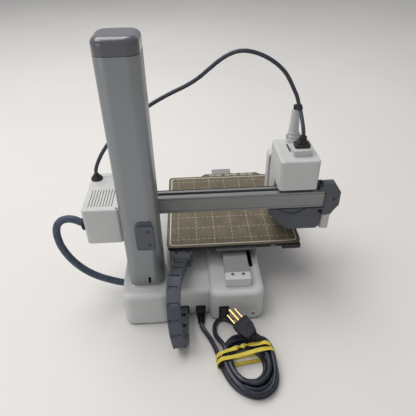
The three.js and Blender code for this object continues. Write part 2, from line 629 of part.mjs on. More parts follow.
buildBase();
buildBedDrive();
buildBed();
buildChain();
buildColumn();
buildArm();
buildHead();
buildCables();
buildPowerCord();
printer.position.copy(FRAME_SHIFT);

export default printer;
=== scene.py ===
"""The looks of a cantilever desktop 3-D printer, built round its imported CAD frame.

Shapes are drawn in millimetres from the middle of the bed, at floor level, and then carried
into the frame's metres.
"""
import random
from math import cos, pi, radians, sin, tan

import bmesh
import bpy
from mathutils import Matrix, Vector


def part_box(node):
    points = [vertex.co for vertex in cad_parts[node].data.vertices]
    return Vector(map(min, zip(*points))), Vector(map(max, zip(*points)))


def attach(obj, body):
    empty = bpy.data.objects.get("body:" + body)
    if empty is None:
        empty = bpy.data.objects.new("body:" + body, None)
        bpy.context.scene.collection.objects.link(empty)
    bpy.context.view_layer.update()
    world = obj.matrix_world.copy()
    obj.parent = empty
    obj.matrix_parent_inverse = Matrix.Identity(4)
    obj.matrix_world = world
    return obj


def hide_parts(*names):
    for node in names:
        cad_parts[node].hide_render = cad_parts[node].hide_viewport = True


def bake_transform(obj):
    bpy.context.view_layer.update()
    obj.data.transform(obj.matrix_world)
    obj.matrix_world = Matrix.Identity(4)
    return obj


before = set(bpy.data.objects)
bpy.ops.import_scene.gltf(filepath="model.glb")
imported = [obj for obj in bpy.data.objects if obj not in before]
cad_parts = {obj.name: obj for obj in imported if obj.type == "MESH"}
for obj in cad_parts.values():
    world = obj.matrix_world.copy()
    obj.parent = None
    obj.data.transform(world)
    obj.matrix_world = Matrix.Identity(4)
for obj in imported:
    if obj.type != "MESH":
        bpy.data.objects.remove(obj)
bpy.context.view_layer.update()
MM = 0.001
BED_HALF = 95


def bed_centre():
    low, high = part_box("print_plate")
    return Vector(((low.x + high.x) / 2, high.y - BED_HALF * MM, 0))


ORIGIN = bed_centre()
TO_ROW = Matrix.Translation(ORIGIN) @ Matrix.Diagonal((MM, MM, MM, 1))


def at(x, y, z):
    """A place in the frame's metres, from millimetres off the bed's middle."""
    return TO_ROW @ Vector((x, y, z))


def node_box(name):
    """A CAD node's limits along x, y and z, in millimetres off the bed's middle."""
    low, high = ((corner - ORIGIN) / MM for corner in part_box(name))
    return tuple((low[k], high[k]) for k in range(3))


def shrink(span, by):
    return (span[0] + by, span[1] - by)


def wider(span):
    """The span with a millimetre more at both ends, for a tool that cuts right through."""
    return shrink(span, -1)


def near(level, below, above=1):
    """The span from a little below a level to a little above it."""
    return (level - below, level + above)


def linked(name, data):
    """A new object in the scene."""
    obj = bpy.data.objects.new(name, data)
    bpy.context.scene.collection.objects.link(obj)
    return obj


# ------------ camera and light
CAMERA_AT = (55.9, 529.7, 449.5)
CAMERA_YAW = 177.36
CAMERA_PITCH = 35.28
CAMERA_ROLL = -1.06
CAMERA_LENS = 35.25


def place_camera():
    data = bpy.data.cameras.new("camera")
    data.lens = CAMERA_LENS
    data.clip_start = 0.01
    camera = linked("camera", data)
    yaw, pitch, roll = (radians(v) for v in (CAMERA_YAW, CAMERA_PITCH, CAMERA_ROLL))
    back = Vector((sin(yaw) * cos(pitch), -cos(yaw) * cos(pitch), sin(pitch)))
    level = Vector((0, 0, 1)).cross(back).normalized()
    upright = back.cross(level)
    right = level * cos(roll) + upright * sin(roll)
    up = upright * cos(roll) - level * sin(roll)
    turn = Matrix((right, up, back)).transposed().to_4x4()
    camera.matrix_world = Matrix.Translation(at(*CAMERA_AT)) @ turn
    bpy.context.scene.camera = camera


def area_light(name, place, target, size, power, colour):
    data = bpy.data.lights.new(name, "AREA")
    data.shape = "RECTANGLE"
    data.size, data.size_y = size
    data.energy = power
    data.color = colour
    light = linked(name, data)
    light.location = place
    light.rotation_euler = (Vector(target) - Vector(place)).to_track_quat("-Z", "Y").to_euler()


ROOM_STRENGTH = 0.4
OVERHEAD_WATTS = 48
LOW_LEFT_WATTS = 1.3


def light_the_scene():
    world = bpy.data.worlds.new("soft_room")
    bpy.context.scene.world = world
    world.use_nodes = True
    sky = world.node_tree.nodes["Background"]
    sky.inputs["Color"].default_value = (0.93, 0.93, 0.95, 1)
    sky.inputs["Strength"].default_value = ROOM_STRENGTH
    area_light("overhead", (0.75, -0.4, 2.1), (0.05, 0, 0.1), (2.4, 1.5), OVERHEAD_WATTS, (1, 0.98, 0.96))
    area_light("low_left", (0.75, 0.75, 0.4), (0.1, 0.12, 0.06), (0.6, 0.4), LOW_LEFT_WATTS, (0.96, 0.98, 1))
    bpy.context.scene.view_settings.view_transform = "Standard"


# ------------ materials
def srgb(red, green, blue):
    def linear(value):
        share = value / 255
        return share / 12.92 if share <= 0.04045 else ((share + 0.055) / 1.055) ** 2.4

    return (linear(red), linear(green), linear(blue), 1)


class Look:
    """A Principled material whose colour, roughness and bump come from object coordinates."""

    def __init__(self, name, roughness, metallic=0.0, **sockets):
        self.material = bpy.data.materials.new(name)
        self.material.use_nodes = True
        self.tree = self.material.node_tree
        self.shader = self.tree.nodes["Principled BSDF"]
        self.set_up(self.shader, Roughness=roughness, Metallic=metallic, **sockets)
        self.place = self.tree.nodes.new("ShaderNodeTexCoord").outputs["Object"]

    def feed(self, target, value):
        """Gives a socket a constant, or wires another node's output to it."""
        if isinstance(value, bpy.types.NodeSocket):
            self.tree.links.new(value, target)
        else:
            target.default_value = value

    def set_up(self, node, **sockets):
        for name, value in sockets.items():
            self.feed(node.inputs[name.replace("_", " ")], value)

    def node(self, kind, output, **sockets):
        node = self.tree.nodes.new("ShaderNode" + kind)
        self.set_up(node, **sockets)
        return node.outputs[output]

    def noise(self, scale, detail, roughness=0.55, stretch=None):
        place = self.place
        if stretch:
            place = self.node("Mapping", "Vector", Vector=place, Scale=stretch)
        return self.node("TexNoise", "Fac", Vector=place, Scale=scale, Detail=detail, Roughness=roughness)

    def ramp(self, value, low, high):
        """Two colours, each with the value at which it starts or ends."""
        node = self.tree.nodes.new("ShaderNodeValToRGB")
        for element, (position, colour) in zip(node.color_ramp.elements, (low, high)):
            element.position = position
            element.color = colour
        self.set_up(node, Fac=value)
        return node.outputs["Color"]

    def remap(self, value, low, high):
        """Low to high as a noise value runs over its middle part."""
        limits = {"From_Min": 0.3, "From_Max": 0.7, "To_Min": low, "To_Max": high}
        return self.node("MapRange", "Result", Value=value, **limits)

    def maths(self, operation, *values):
        node = self.tree.nodes.new("ShaderNodeMath")
        node.operation = operation
        for socket, value in zip(node.inputs, values):
            self.feed(socket, value)
        return node.outputs["Value"]

    def mixed(self, factor, first, second):
        node = self.tree.nodes.new("ShaderNodeMix")
        node.data_type = "RGBA"
        self.set_up(node, Factor=factor)
        colours = [socket for socket in node.inputs if socket.type == "RGBA"]
        self.feed(colours[0], first)
        self.feed(colours[1], second)
        return next(socket for socket in node.outputs if socket.type == "RGBA")

    def tint(self, value, dark, light, start=0.3):
        """A base colour between two sRGB tones, which the value blends over its middle part."""
        self.colour(self.ramp(value, (start, srgb(*dark)), (1 - start, srgb(*light))))

    def colour(self, output):
        self.set_up(self.shader, Base_Color=output)

    def rough(self, output):
        self.set_up(self.shader, Roughness=output)

    def bump(self, height, depth, strength):
        normal = self.node("Bump", "Normal", Height=height, Distance=depth, Strength=strength)
        self.set_up(self.shader, Normal=normal)


def moulded(name, dark, light, roughness, grain=2200, depth=0.00004, **sockets):
    """Injection-moulded plastic: a fine spark-eroded grain and a faint unevenness of tone."""
    look = Look(name, roughness, **sockets)
    look.tint(look.noise(18, 2), dark, light)
    look.rough(look.remap(look.noise(60, 4), roughness - 0.06, roughness + 0.07))
    look.bump(look.noise(grain, 2), depth, 0.5)
    return look.material


def metal(name, dark, light, roughness, stretch=(1, 1, 1), metallic=1.0, depth=0.00001):
    """Drawn, ground or extruded metal: its fine lines run along one axis."""
    look = Look(name, roughness, metallic)
    lines = look.noise(900, 4, 0.7, stretch)
    look.tint(lines, dark, light, 0.32)
    look.rough(look.remap(lines, roughness - 0.07, roughness + 0.09))
    look.bump(lines, depth, 0.6)
    return look.material


def rubbery(name, dark, light, roughness, scale=700, depth=0.00004, **sockets):
    look = Look(name, roughness, **sockets)
    look.tint(look.noise(90, 3), dark, light)
    look.rough(look.remap(look.noise(240, 4), roughness - 0.08, roughness + 0.12))
    look.bump(look.noise(scale, 3), depth, 0.5)
    return look.material


GRID_PITCH = 26 * MM
OUTLINE_HALF = 90 * MM
LINE_WIDTH = 0.9 * MM
DASH_HALF_PITCH = 3.75 * MM
DASH_GAP = 1.5 * MM
OUTLINE_CORNER = 6 * MM


def printed_sheet():
    """The bed's textured sheet with its pale rounded outline and dashed grid."""
    look = Look("printed_sheet", 0.62, 0.35)
    maths = look.maths
    grain = look.noise(1700, 2)
    base = look.ramp(look.noise(55, 3), (0.3, srgb(92, 84, 68)), (0.7, srgb(110, 101, 82)))
    # painted glint: the grain's raised points are mixed towards a lighter tan, as if they caught the light
    painted_glint = look.ramp(grain, (0.52, (0, 0, 0, 1)), (0.72, (1, 1, 1, 1)))
    ground = look.mixed(maths("MULTIPLY", painted_glint, 0.35), base, srgb(170, 160, 136))
    offset = [maths("SUBTRACT", look.node("SeparateXYZ", k, Vector=look.place), ORIGIN[k]) for k in range(2)]
    away = [maths("ABSOLUTE", value) for value in offset]

    def line(value, width):
        """1 within half a width of a multiple of the grid's pitch."""
        turn = maths("PINGPONG", value, GRID_PITCH / 2)
        return maths("LESS_THAN", turn, width / 2)

    def dashes(value):
        return maths("GREATER_THAN", maths("PINGPONG", value, DASH_HALF_PITCH), DASH_GAP)

    inside = maths("MULTIPLY", *(maths("LESS_THAN", v, OUTLINE_HALF - 3 * MM) for v in away))
    along = [maths("MULTIPLY", line(offset[k], LINE_WIDTH), dashes(offset[1 - k])) for k in range(2)]
    grid = maths("MULTIPLY", maths("MAXIMUM", *along), inside)

    straight = OUTLINE_HALF - OUTLINE_CORNER
    beyond = [maths("MAXIMUM", maths("SUBTRACT", v, straight), 0) for v in away]
    reach = maths("SQRT", maths("ADD", *(maths("MULTIPLY", v, v) for v in beyond)))
    gap = maths("ABSOLUTE", maths("SUBTRACT", reach, OUTLINE_CORNER))
    outline = maths("LESS_THAN", gap, LINE_WIDTH * 0.75)
    both = maths("MAXIMUM", maths("MULTIPLY", grid, 0.5), outline)
    look.colour(look.mixed(both, ground, srgb(214, 212, 200)))
    look.rough(look.remap(grain, 0.5, 0.74))
    look.bump(grain, 0.00008, 0.7)
    return look.material


def circuit_board():
    look = Look("circuit_board", 0.42)
    tracks = look.noise(320, 2, 0.4, (1, 0.2, 1))
    look.tint(tracks, (22, 74, 52), (34, 104, 74), 0.47)
    look.rough(look.remap(look.noise(90, 3), 0.34, 0.5))
    look.bump(tracks, 0.00003, 0.5)
    return look.material


def screen_glass():
    look = Look("screen_glass", 0.06, Coat_Weight=0.6, Coat_Roughness=0.03)
    look.tint(look.noise(14, 2), (12, 13, 16), (20, 22, 26))
    look.rough(look.remap(look.noise(45, 5), 0.04, 0.13))
    return look.material


def make_materials():
    along_x, along_y, along_z = (0.02, 1, 1), (1, 0.02, 1), (1, 1, 0.02)
    return {
        "white": moulded("white_casing", (188, 189, 188), (196, 197, 196), 0.46),
        "white_inner": moulded("white_inner", (176, 176, 172), (186, 186, 182), 0.6),
        "slate": moulded("slate_plastic", (70, 74, 80), (80, 84, 90), 0.5),
        "charcoal": moulded("charcoal_plastic", (84, 86, 90), (94, 96, 100), 0.42),
        "black": moulded("black_plastic", (30, 31, 34), (38, 39, 42), 0.45),
        "cap": moulded("glossy_cap", (78, 80, 87), (86, 88, 94), 0.2, 1500, 0.00001,
                       Coat_Weight=0.5, Coat_Roughness=0.12),
        "hook": moulded("hook_plastic", (76, 80, 88), (86, 90, 98), 0.4),
        "column": metal("satin_column", (136, 140, 143), (140, 144, 147), 0.36, along_z, 0.6, 0.000002),
        "beam": metal("extruded_beam", (130, 131, 131), (142, 143, 142), 0.45, along_x, 0.5),
        "rail": metal("extruded_rail", (150, 151, 150), (164, 165, 163), 0.45, along_y, 0.5),
        "steel": metal("ground_steel", (176, 178, 180), (200, 202, 204), 0.26),
        "screw": metal("blackened_screw", (52, 53, 56), (70, 71, 74), 0.36, metallic=0.8),
        "brass": metal("brass", (214, 180, 112), (230, 200, 136), 0.3, metallic=0.9, depth=0.000002),
        "sheet": printed_sheet(),
        "heatbed": moulded("coated_tray", (34, 35, 38), (44, 45, 48), 0.55, 1500, 0.00006),
        "board": circuit_board(),
        "glass": screen_glass(),
        "sheath": rubbery("braided_sheath", (52, 62, 78), (74, 86, 104), 0.6),
        "thin_sheath": rubbery("thin_sheath", (42, 48, 58), (58, 65, 76), 0.55),
        "cord": rubbery("cord_jacket", (24, 28, 38), (34, 39, 52), 0.3, 500, 0.00003),
        "cord_moulding": rubbery(
            "cord_moulding", (20, 22, 29), (28, 31, 38), 0.5, 900, 0.00003, Specular_IOR_Level=0.22
        ),
        "rubber": rubbery("black_rubber", (24, 25, 28), (36, 37, 40), 0.7),
        "band": rubbery("yellow_band", (196, 176, 52), (214, 196, 76), 0.55, 500, 0.00006),
        "chain": moulded("chain_plastic", (62, 67, 76), (74, 79, 88), 0.44),
        "print": moulded("pale_print", (222, 222, 216), (232, 232, 226), 0.6),
    }


# ------------ solids, in millimetres
ORDER = {"x": (2, 0, 1), "y": (0, 2, 1), "z": (0, 1, 2)}


def turned_to(axis, u, v, w):
    """A point drawn at (u, v) and w along the axis: (y, z) on x, (x, z) on y, (x, y) on z."""
    return [(u, v, w)[k] for k in ORDER[axis]]


def as_object(bm):
    bmesh.ops.recalc_face_normals(bm, faces=bm.faces)
    mesh = bpy.data.meshes.new("solid")
    bm.to_mesh(mesh)
    bm.free()
    return linked("solid", mesh)


def skin(rings, looped=False):
    """Faces between rings of equal length, with flat ends or closed on itself."""
    bm = bmesh.new()
    made = [[bm.verts.new(point) for point in ring] for ring in rings]
    pairs = list(zip(made, made[1:])) + ([(made[-1], made[0])] if looped else [])
    for lower, upper in pairs:
        for k, vertex in enumerate(lower):
            after = (k + 1) % len(lower)
            bm.faces.new((vertex, lower[after], upper[after], upper[k]))
    if not looped:
        bm.faces.new(made[0][::-1])
        bm.faces.new(made[-1])
    return as_object(bm)


def rounded(u, v, radius, steps=10):
    """A rounded rectangle."""
    centres = ((u[1] - radius, v[0] + radius), (u[1] - radius, v[1] - radius),
               (u[0] + radius, v[1] - radius), (u[0] + radius, v[0] + radius))
    points = []
    for quarter, (cu, cv) in enumerate(centres):
        for k in range(steps + 1):
            angle = pi / 2 * (quarter - 1 + k / steps)
            points.append((cu + radius * cos(angle), cv + radius * sin(angle)))
    return points


def prism(axis, outline, span):
    return skin([[turned_to(axis, u, v, w) for u, v in outline] for w in span])


def casing(axis, u, v, span, corner, low=0.0, high=0.0, steps=6):
    """A box with rounded edges along the axis, and its two ends eased by low and high."""
    rings = []
    for ease, end, side in ((low, span[0], 1), (high, span[1], -1)):
        stages = range(steps + 1) if ease else [steps]
        ordered = stages if side == 1 else reversed(stages)
        for k in ordered:
            angle = pi / 2 * k / steps
            inset = ease * (1 - sin(angle))
            level = end + side * ease * (1 - cos(angle))
            radius = max(corner - inset, 0.05)
            outline = rounded(shrink(u, inset), shrink(v, inset), radius)
            rings.append([turned_to(axis, a, b, level) for a, b in outline])
    return skin(rings)


def block(x, y, z, ease=0.0):
    if ease:
        return casing("z", x, y, z, ease, ease, ease, 3)
    return prism("z", [(x[0], y[0]), (x[1], y[0]), (x[1], y[1]), (x[0], y[1])], z)


def circle(radius, centre, sides):
    turns = (2 * pi * k / sides for k in range(sides))
    return [(centre[0] + radius * cos(t), centre[1] + radius * sin(t)) for t in turns]


def rod(axis, centre, radius, span, ease=0.0, sides=40):
    """A round bar; centre is its place across the axis."""
    low, high = span
    stages = [(radius, low), (radius, high)]
    if ease:
        stages = [(radius - ease, low), (radius, low + ease), (radius, high - ease), (radius - ease, high)]
    return lathe(axis, centre, stages, sides)


def lathe(axis, centre, profile, sides=48, looped=False):
    """A turned piece from (radius, place along the axis) pairs."""
    rings = [[turned_to(axis, u, v, w) for u, v in circle(max(r, 0.02), centre, sides)] for r, w in profile]
    return skin(rings, looped=looped)


def raised_lathe(axis, centre, level, profile):
    """A turned ring whose profile's places are counted from the level."""
    return lathe(axis, centre, [(r, level + w) for r, w in profile], looped=True)


def baked(obj):
    """The object's mesh with its modifiers applied."""
    graph = bpy.context.evaluated_depsgraph_get()
    mesh = bpy.data.meshes.new_from_object(obj.evaluated_get(graph))
    obj.modifiers.clear()
    obj.data = mesh
    return obj


def combined(body, others, operation):
    for other in others:
        boolean = body.modifiers.new("boolean", "BOOLEAN")
        boolean.operation = operation
        boolean.solver = "EXACT"
        boolean.object = other
        baked(body)
        bpy.data.objects.remove(other)
    return body


def cut(body, *tools):
    return combined(body, tools, "DIFFERENCE")


def fused(body, *others):
    return combined(body, others, "UNION")


def gathered(*solids):
    """Separate closed solids in one mesh."""
    bm = bmesh.new()
    for obj in solids:
        bm.from_mesh(obj.data)
        bpy.data.objects.remove(obj)
    return as_object(bm)


def moved(obj, matrix):
    obj.data.transform(matrix)
    return obj


def softened(obj, width, segments, angle=35):
    eased_edges(obj, width, segments, angle)
    return baked(obj)


def eased_edges(obj, width, segments, angle):
    """A bevel on every edge that is sharper than the angle."""
    bevel = obj.modifiers.new("bevel", "BEVEL")
    bevel.width = width
    bevel.segments = segments
    bevel.limit_method = "ANGLE"
    bevel.angle_limit = radians(angle)


def show_as(obj, look):
    obj.data.materials.clear()
    obj.data.materials.append(LOOKS[look])


def piece(name, obj, look, body, *replaced, slot=None, smooth=38):
    """Finishes a solid as a named piece that rides on a body and stands for CAD nodes."""
    obj.name = name
    obj.data.name = name
    obj.data.transform(TO_ROW)
    show_as(obj, look)
    for face in obj.data.polygons:
        face.use_smooth = True
    obj.data.set_sharp_from_angle(angle=radians(smooth))
    weighted = obj.modifiers.new("weighted_normals", "WEIGHTED_NORMAL")
    weighted.keep_sharp = True
    if body:
        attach(obj, body)
    if replaced:
        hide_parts(*replaced)
    return obj


def keep(look, ease, *nodes):
    """CAD nodes that are shown as they are, with eased edges and a material."""
    for node in nodes:
        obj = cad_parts[node]
        show_as(obj, look)
        obj.modifiers.new("weld", "WELD").merge_threshold = 1e-6
        eased_edges(obj, ease * MM, 2, 40)


SOCKET_DEPTH = 1.2


def screw(centre, axis, level, radius):
    """A socket-head screw whose face is at the level and looks along the axis."""
    head = rod(axis, centre, radius, (level - 2 * SOCKET_DEPTH, level), 0.25, 24)
    socket = prism(axis, circle(radius * 0.5, centre, 6), near(level, SOCKET_DEPTH, SOCKET_DEPTH))
    return cut(head, socket)


# ------------ lines, tubes and strips
def smooth_line(points, step):
    """Points about a step apart on the centripetal Catmull-Rom curve through the given ones."""
    given = [Vector(p) for p in points]
    ends = [2 * given[0] - given[1], *given, 2 * given[-1] - given[-2]]
    line = [given[0]]
    for k in range(1, len(ends) - 2):
        p = ends[k - 1:k + 3]
        knots = [0.0]
        for first, second in zip(p, p[1:]):
            knots.append(knots[-1] + max((second - first).length, 1e-6) ** 0.5)
        count = max(1, round((p[2] - p[1]).length / step))
        for i in range(1, count + 1):
            t = knots[1] + (knots[2] - knots[1]) * i / count
            line.append(catmull_rom(p, knots, t))
    return line


def catmull_rom(p, knots, t):
    level = list(p)
    for reach in (1, 2, 1):
        first = 1 if len(level) == 2 else 0
        used = zip(knots[first:], knots[first + reach:])
        shares = [(t - low) / (high - low) for (low, high), _ in zip(used, level[1:])]
        level = [a * (1 - share) + b * share for a, b, share in zip(level, level[1:], shares)]
    return level[0]


def line_length(line):
    return sum((b - a).length for a, b in zip(line, line[1:]))


def evenly(line, step):
    """The line's points again at equal distances."""
    total = line_length(line)
    count = max(2, round(total / step))
    gap = total / count
    result, travelled, target = [line[0]], 0.0, gap
    for a, b in zip(line, line[1:]):
        span = (b - a).length
        while span > 0 and target <= travelled + span + 1e-9 and len(result) < count:
            result.append(a.lerp(b, (target - travelled) / span))
            target += gap
        travelled += span
    return [*result, line[-1]]


def direction_at(line, k):
    return (line[min(k + 1, len(line) - 1)] - line[max(k - 1, 0)]).normalized()


def carried_frames(line):
    """For each point, two directions across the line, carried along it without twisting."""
    frames = []
    side = Vector((1, 0, 0))
    for k in range(len(line)):
        direction = direction_at(line, k)
        side = (side - direction * side.dot(direction)).normalized()
        frames.append((side, direction.cross(side)))
    return frames


def tube(line, radius_at, sides):
    """A round tube; radius_at gives its radius at a distance along and an angle round it."""
    rings, travelled = [], 0.0
    for k, (point, (side, other)) in enumerate(zip(line, carried_frames(line))):
        travelled += (point - line[k - 1]).length if k else 0.0
        ring = []
        for i in range(sides):
            angle = 2 * pi * i / sides
            radius = radius_at(travelled, angle)
            ring.append(point + radius * (side * cos(angle) + other * sin(angle)))
        rings.append(ring)
    return skin(rings)


def braid(radius, strands, pitch, depth):
    """What gives the radius of a braided sleeve: two families of crossing helical strands."""
    def radius_at(distance, angle):
        turn = 2 * pi * distance / pitch
        crests = max(sin(strands * angle + turn), sin(strands * angle - turn))
        return radius + depth * crests

    return radius_at


def strip(line, ups, width, thickness):
    """A closed loop of flat strip; ups gives the direction that its face looks in at each point."""
    rings = []
    count = len(line)
    for k in range(count):
        along = (line[(k + 1) % count] - line[k - 1]).normalized()
        up = (ups[k] - along * ups[k].dot(along)).normalized()
        side = along.cross(up)
        ring = []
        for a, b in rounded((-width / 2, width / 2), (-thickness / 2, thickness / 2), thickness * 0.45, 3):
            ring.append(line[k] + side * a + up * b)
        rings.append(ring)
    return skin(rings, looped=True)


LOOKS = make_materials()

# ------------ cables and the mains lead
ARM_CABLE_RADIUS = 4.7
ARM_CABLE_POINTS = [
    (186, 112, 138), (191, 112, 138.2), (197, 112, 140.6), (204, 112, 144.8), (212.5, 112, 146.6),
    (221, 112, 144.4), (227.5, 112, 137.6), (230.8, 112, 127), (231.4, 112, 115), (229.8, 112, 102),
    (226.2, 112, 90), (220.6, 112, 77.6), (212.6, 112, 65.4), (201.6, 112, 53.6), (189, 112, 44.4),
    (176, 112, 37.8), (164, 112, 32.8), (157, 112, 30.8), (148, 112, 30),
]
HEAD_CABLE_RADIUS = 2.4
HEAD_CABLE_POINTS = [
    (184, 45.3, 158), (184, 45.3, 169), (183.2, 45.3, 178), (178.6, 45.2, 189), (171.6, 45, 201.2),
    (160, 45, 216.6), (145, 45, 232.6), (128, 45, 247.6), (110, 45, 260.2), (92, 45, 270.8),
    (74, 45, 279.8), (57.2, 45, 287.4), (42.5, 45, 296), (28.5, 45, 307), (15, 45, 317.2),
    (3, 45, 323.4), (-8, 45, 325.8), (-20, 45, 324.6), (-35, 45, 319.4), (-50, 45, 310.4),
    (-61, 45, 300.4), (-68.6, 45, 289.6), (-74.4, 45, 279), (-79.2, 45, 269.8), (-82.4, 45, 260.6),
    (-84.3, 45.6, 255), (-85.1, 49.4, 250.6), (-85.3, 56, 246), (-85.2, 62.6, 241.8), (-85.6, 67, 236.6),
    (-86.2, 68.8, 231), (-86.3, 69, 226.1),
]


def sleeved_cable(name, node, points, radius, look, weave):
    """A braided cable between two bodies that move apart; weave is what braid takes."""
    line = evenly(smooth_line(points, 3), 1.1)
    obj = piece(name, tube(line, braid(radius, *weave), 28), look, None, node, smooth=60)
    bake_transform(obj)
    path = [at(*p) for p in line]
    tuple(path[0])


def make_cables():
    sleeved_cable("arm_sheathed_cable", "arm_cable", ARM_CABLE_POINTS, ARM_CABLE_RADIUS,
                  "sheath", (9, 16, 0.13))
    sleeved_cable("head_sheathed_cable", "head_cable", HEAD_CABLE_POINTS, HEAD_CABLE_RADIUS,
                  "thin_sheath", (6, 9, 0.07))


CORD_RADIUS = 3.0
CORES = 3
LEAD_POINTS = [
    (51, 169.9, 5.8), (50.6, 174.6, 4.6), (46.8, 182, 3.4), (42, 191, 3.2), (38.2, 200, 3.2),
    (35, 209, 3.2), (32.6, 218, 3.2), (30.6, 227, 3.1), (29, 235, 3.1),
]
LOOSE_LOOP_POINTS = [
    (-32.6, 226, 9.2), (-29.6, 217, 11), (-24.2, 207.6, 12.8), (-16.4, 199.4, 13.6), (-8, 192, 12.6),
    (-0.6, 184.4, 9.6), (6, 176.4, 6), (12.6, 168.8, 4.2), (20, 164, 3.4), (27.4, 165.4, 3.3),
    (32.6, 172.6, 3.4), (34, 182, 4), (33, 192, 6), (29.4, 202, 9.6), (25.4, 211, 12.8), (22.4, 220, 13.6),
]
PLUG_TAIL_POINTS = [
    (-33.4, 224.6, 14.8), (-31.8, 219.6, 17), (-28.6, 216, 20), (-24.8, 214.2, 22.8), (-21.3, 213.7, 24.2),
]
COIL_MIDDLE = Vector((-4, 235.5, 0))
# Each turn's half width, half length, height over the floor at its sides and at its ends, and lean.
LANES = (
    (31, 43, 3.1, 3.1, 18),
    (25.5, 33, 3.1, 3.1, 17),
    (19.6, 23, 3.1, 3.1, 16),
    (22.5, 28, 8.5, 7, 21),
    (27.6, 37, 8.5, 7.8, 21),
    (23.6, 31, 13.6, 12.2, 12),
    (28.6, 43.4, 13.8, 9.6, 15),
)
STEPS_PER_TURN = 24
SHIFTS = (0.74, 1.0)
CLIMBS = (0.56, 0.76)
LEAD_JOINS = 0.04
LOOSE_LOOP_LEAVES = 0.46
PLUG_TAIL_LEAVES = 0.48
# A turn above this level lies on others, and is lifted a little where it crosses them.
LOWEST_LAYER_TOP = 4
CROSSING_LIFT = 0.8
UNEVENNESS = (0.25, 0.3, 0.2)


def coil_point(lane, share):
    """A place on an oval turn; share runs from 0, at the +X side, round by +Y to 1."""
    half_width, half_length, side_level, end_level, lean = lane
    angle = 2 * pi * share
    level = side_level + (end_level - side_level) * sin(angle) ** 2
    flat = Vector((half_width * cos(angle), half_length * sin(angle), level))
    return COIL_MIDDLE + Matrix.Rotation(radians(lean), 3, "Z") @ flat


def eased(share, start, end):
    t = min(max((share - start) / (end - start), 0), 1)
    return t * t * (3 - 2 * t)


def coil_turn(lane, following, wander, start=0.0, end=1.0):
    """Points of one turn, which climbs and then shifts to the next lane in its last part."""
    points = []
    rises = following[2] > lane[2] + 1
    count = round(STEPS_PER_TURN * (end - start))
    aside, along, up = UNEVENNESS
    for k in range(count):
        share = start + (end - start) * k / count
        here, there = coil_point(lane, share), coil_point(following, share)
        shift = eased(share, *SHIFTS)
        point = here.lerp(there, shift)
        point.z = here.z + (there.z - here.z) * (eased(share, *CLIMBS) if rises else shift)
        if lane[2] > LOWEST_LAYER_TOP and following is not lane:
            point.z += CROSSING_LIFT * sin(pi * shift)
        slack = (wander.uniform(-aside, aside), wander.uniform(-along, along), wander.uniform(0, up))
        points.append(point + Vector(slack))
    return points


def cord_route():
    wander = random.Random(7)
    points = list(LEAD_POINTS)
    for number, (lane, following) in enumerate(zip(LANES[:4], LANES[1:5])):
        points += coil_turn(lane, following, wander, 0.0 if number else LEAD_JOINS)
    points += coil_turn(LANES[4], LANES[4], wander, end=LOOSE_LOOP_LEAVES)
    points += LOOSE_LOOP_POINTS
    points += coil_turn(LANES[5], LANES[6], wander)
    points += coil_turn(LANES[6], LANES[6], wander, end=PLUG_TAIL_LEAVES)
    return points + PLUG_TAIL_POINTS


def three_cored(_, angle):
    """The radius of a lead whose three cores show through its jacket."""
    return CORD_RADIUS * (0.86 + 0.15 * abs(cos(CORES / 2 * angle)))


def make_power_cord():
    line = evenly(smooth_line(cord_route(), 2), 2)
    cord = piece("power_cord", tube(line, three_cored, 30), "cord", "root",
                 "power_cord_lead", "power_cord_coil", smooth=70)
    plug, connector = make_plug(), make_connector()
    attached = [connector, *plug, *make_band()]
    [at(*p) for p in line]


def make_connector():
    """The moulded socket end that goes into the printer's inlet."""
    nose = block((45, 57), (135, 151.5), (5, 17), 1)
    grip = casing("y", (45.6, 56.6), (2.6, 17.4), (150.9, 161.5), 3, 1.5, 2.4)
    ribs = [block((45.2, 57), (y, y + 1.1), (6, 14), 0.3) for y in (153.4, 155.8, 158.2)]
    relief = lathe("y", (51, 6.2), [(0, 159), (4.6, 160.5), (4.4, 163), (3.7, 168), (3.3, 171), (0, 171.2)])
    rings = []
    for k in range(4):
        y, outer = 162 + 2.4 * k, 4.7 - 0.14 * k
        profile = [(3.4, y), (outer, y + 0.4), (outer, y + 1.2), (3.4, y + 1.6)]
        rings.append(lathe("y", (51, 6.4), profile, looped=True))
    return piece("lead_connector", gathered(nose, grip, *ribs, relief, *rings), "cord_moulding", "root",
                 "cord_connector")


PLUG_AT = (-5, 202.6, 27.9)
PLUG_TURN = (
    Matrix.Translation(PLUG_AT)
    @ Matrix.Rotation(radians(34), 4, "Z")
    @ Matrix.Rotation(radians(-8), 4, "X")
    @ Matrix.Rotation(radians(20), 4, "Y")
)


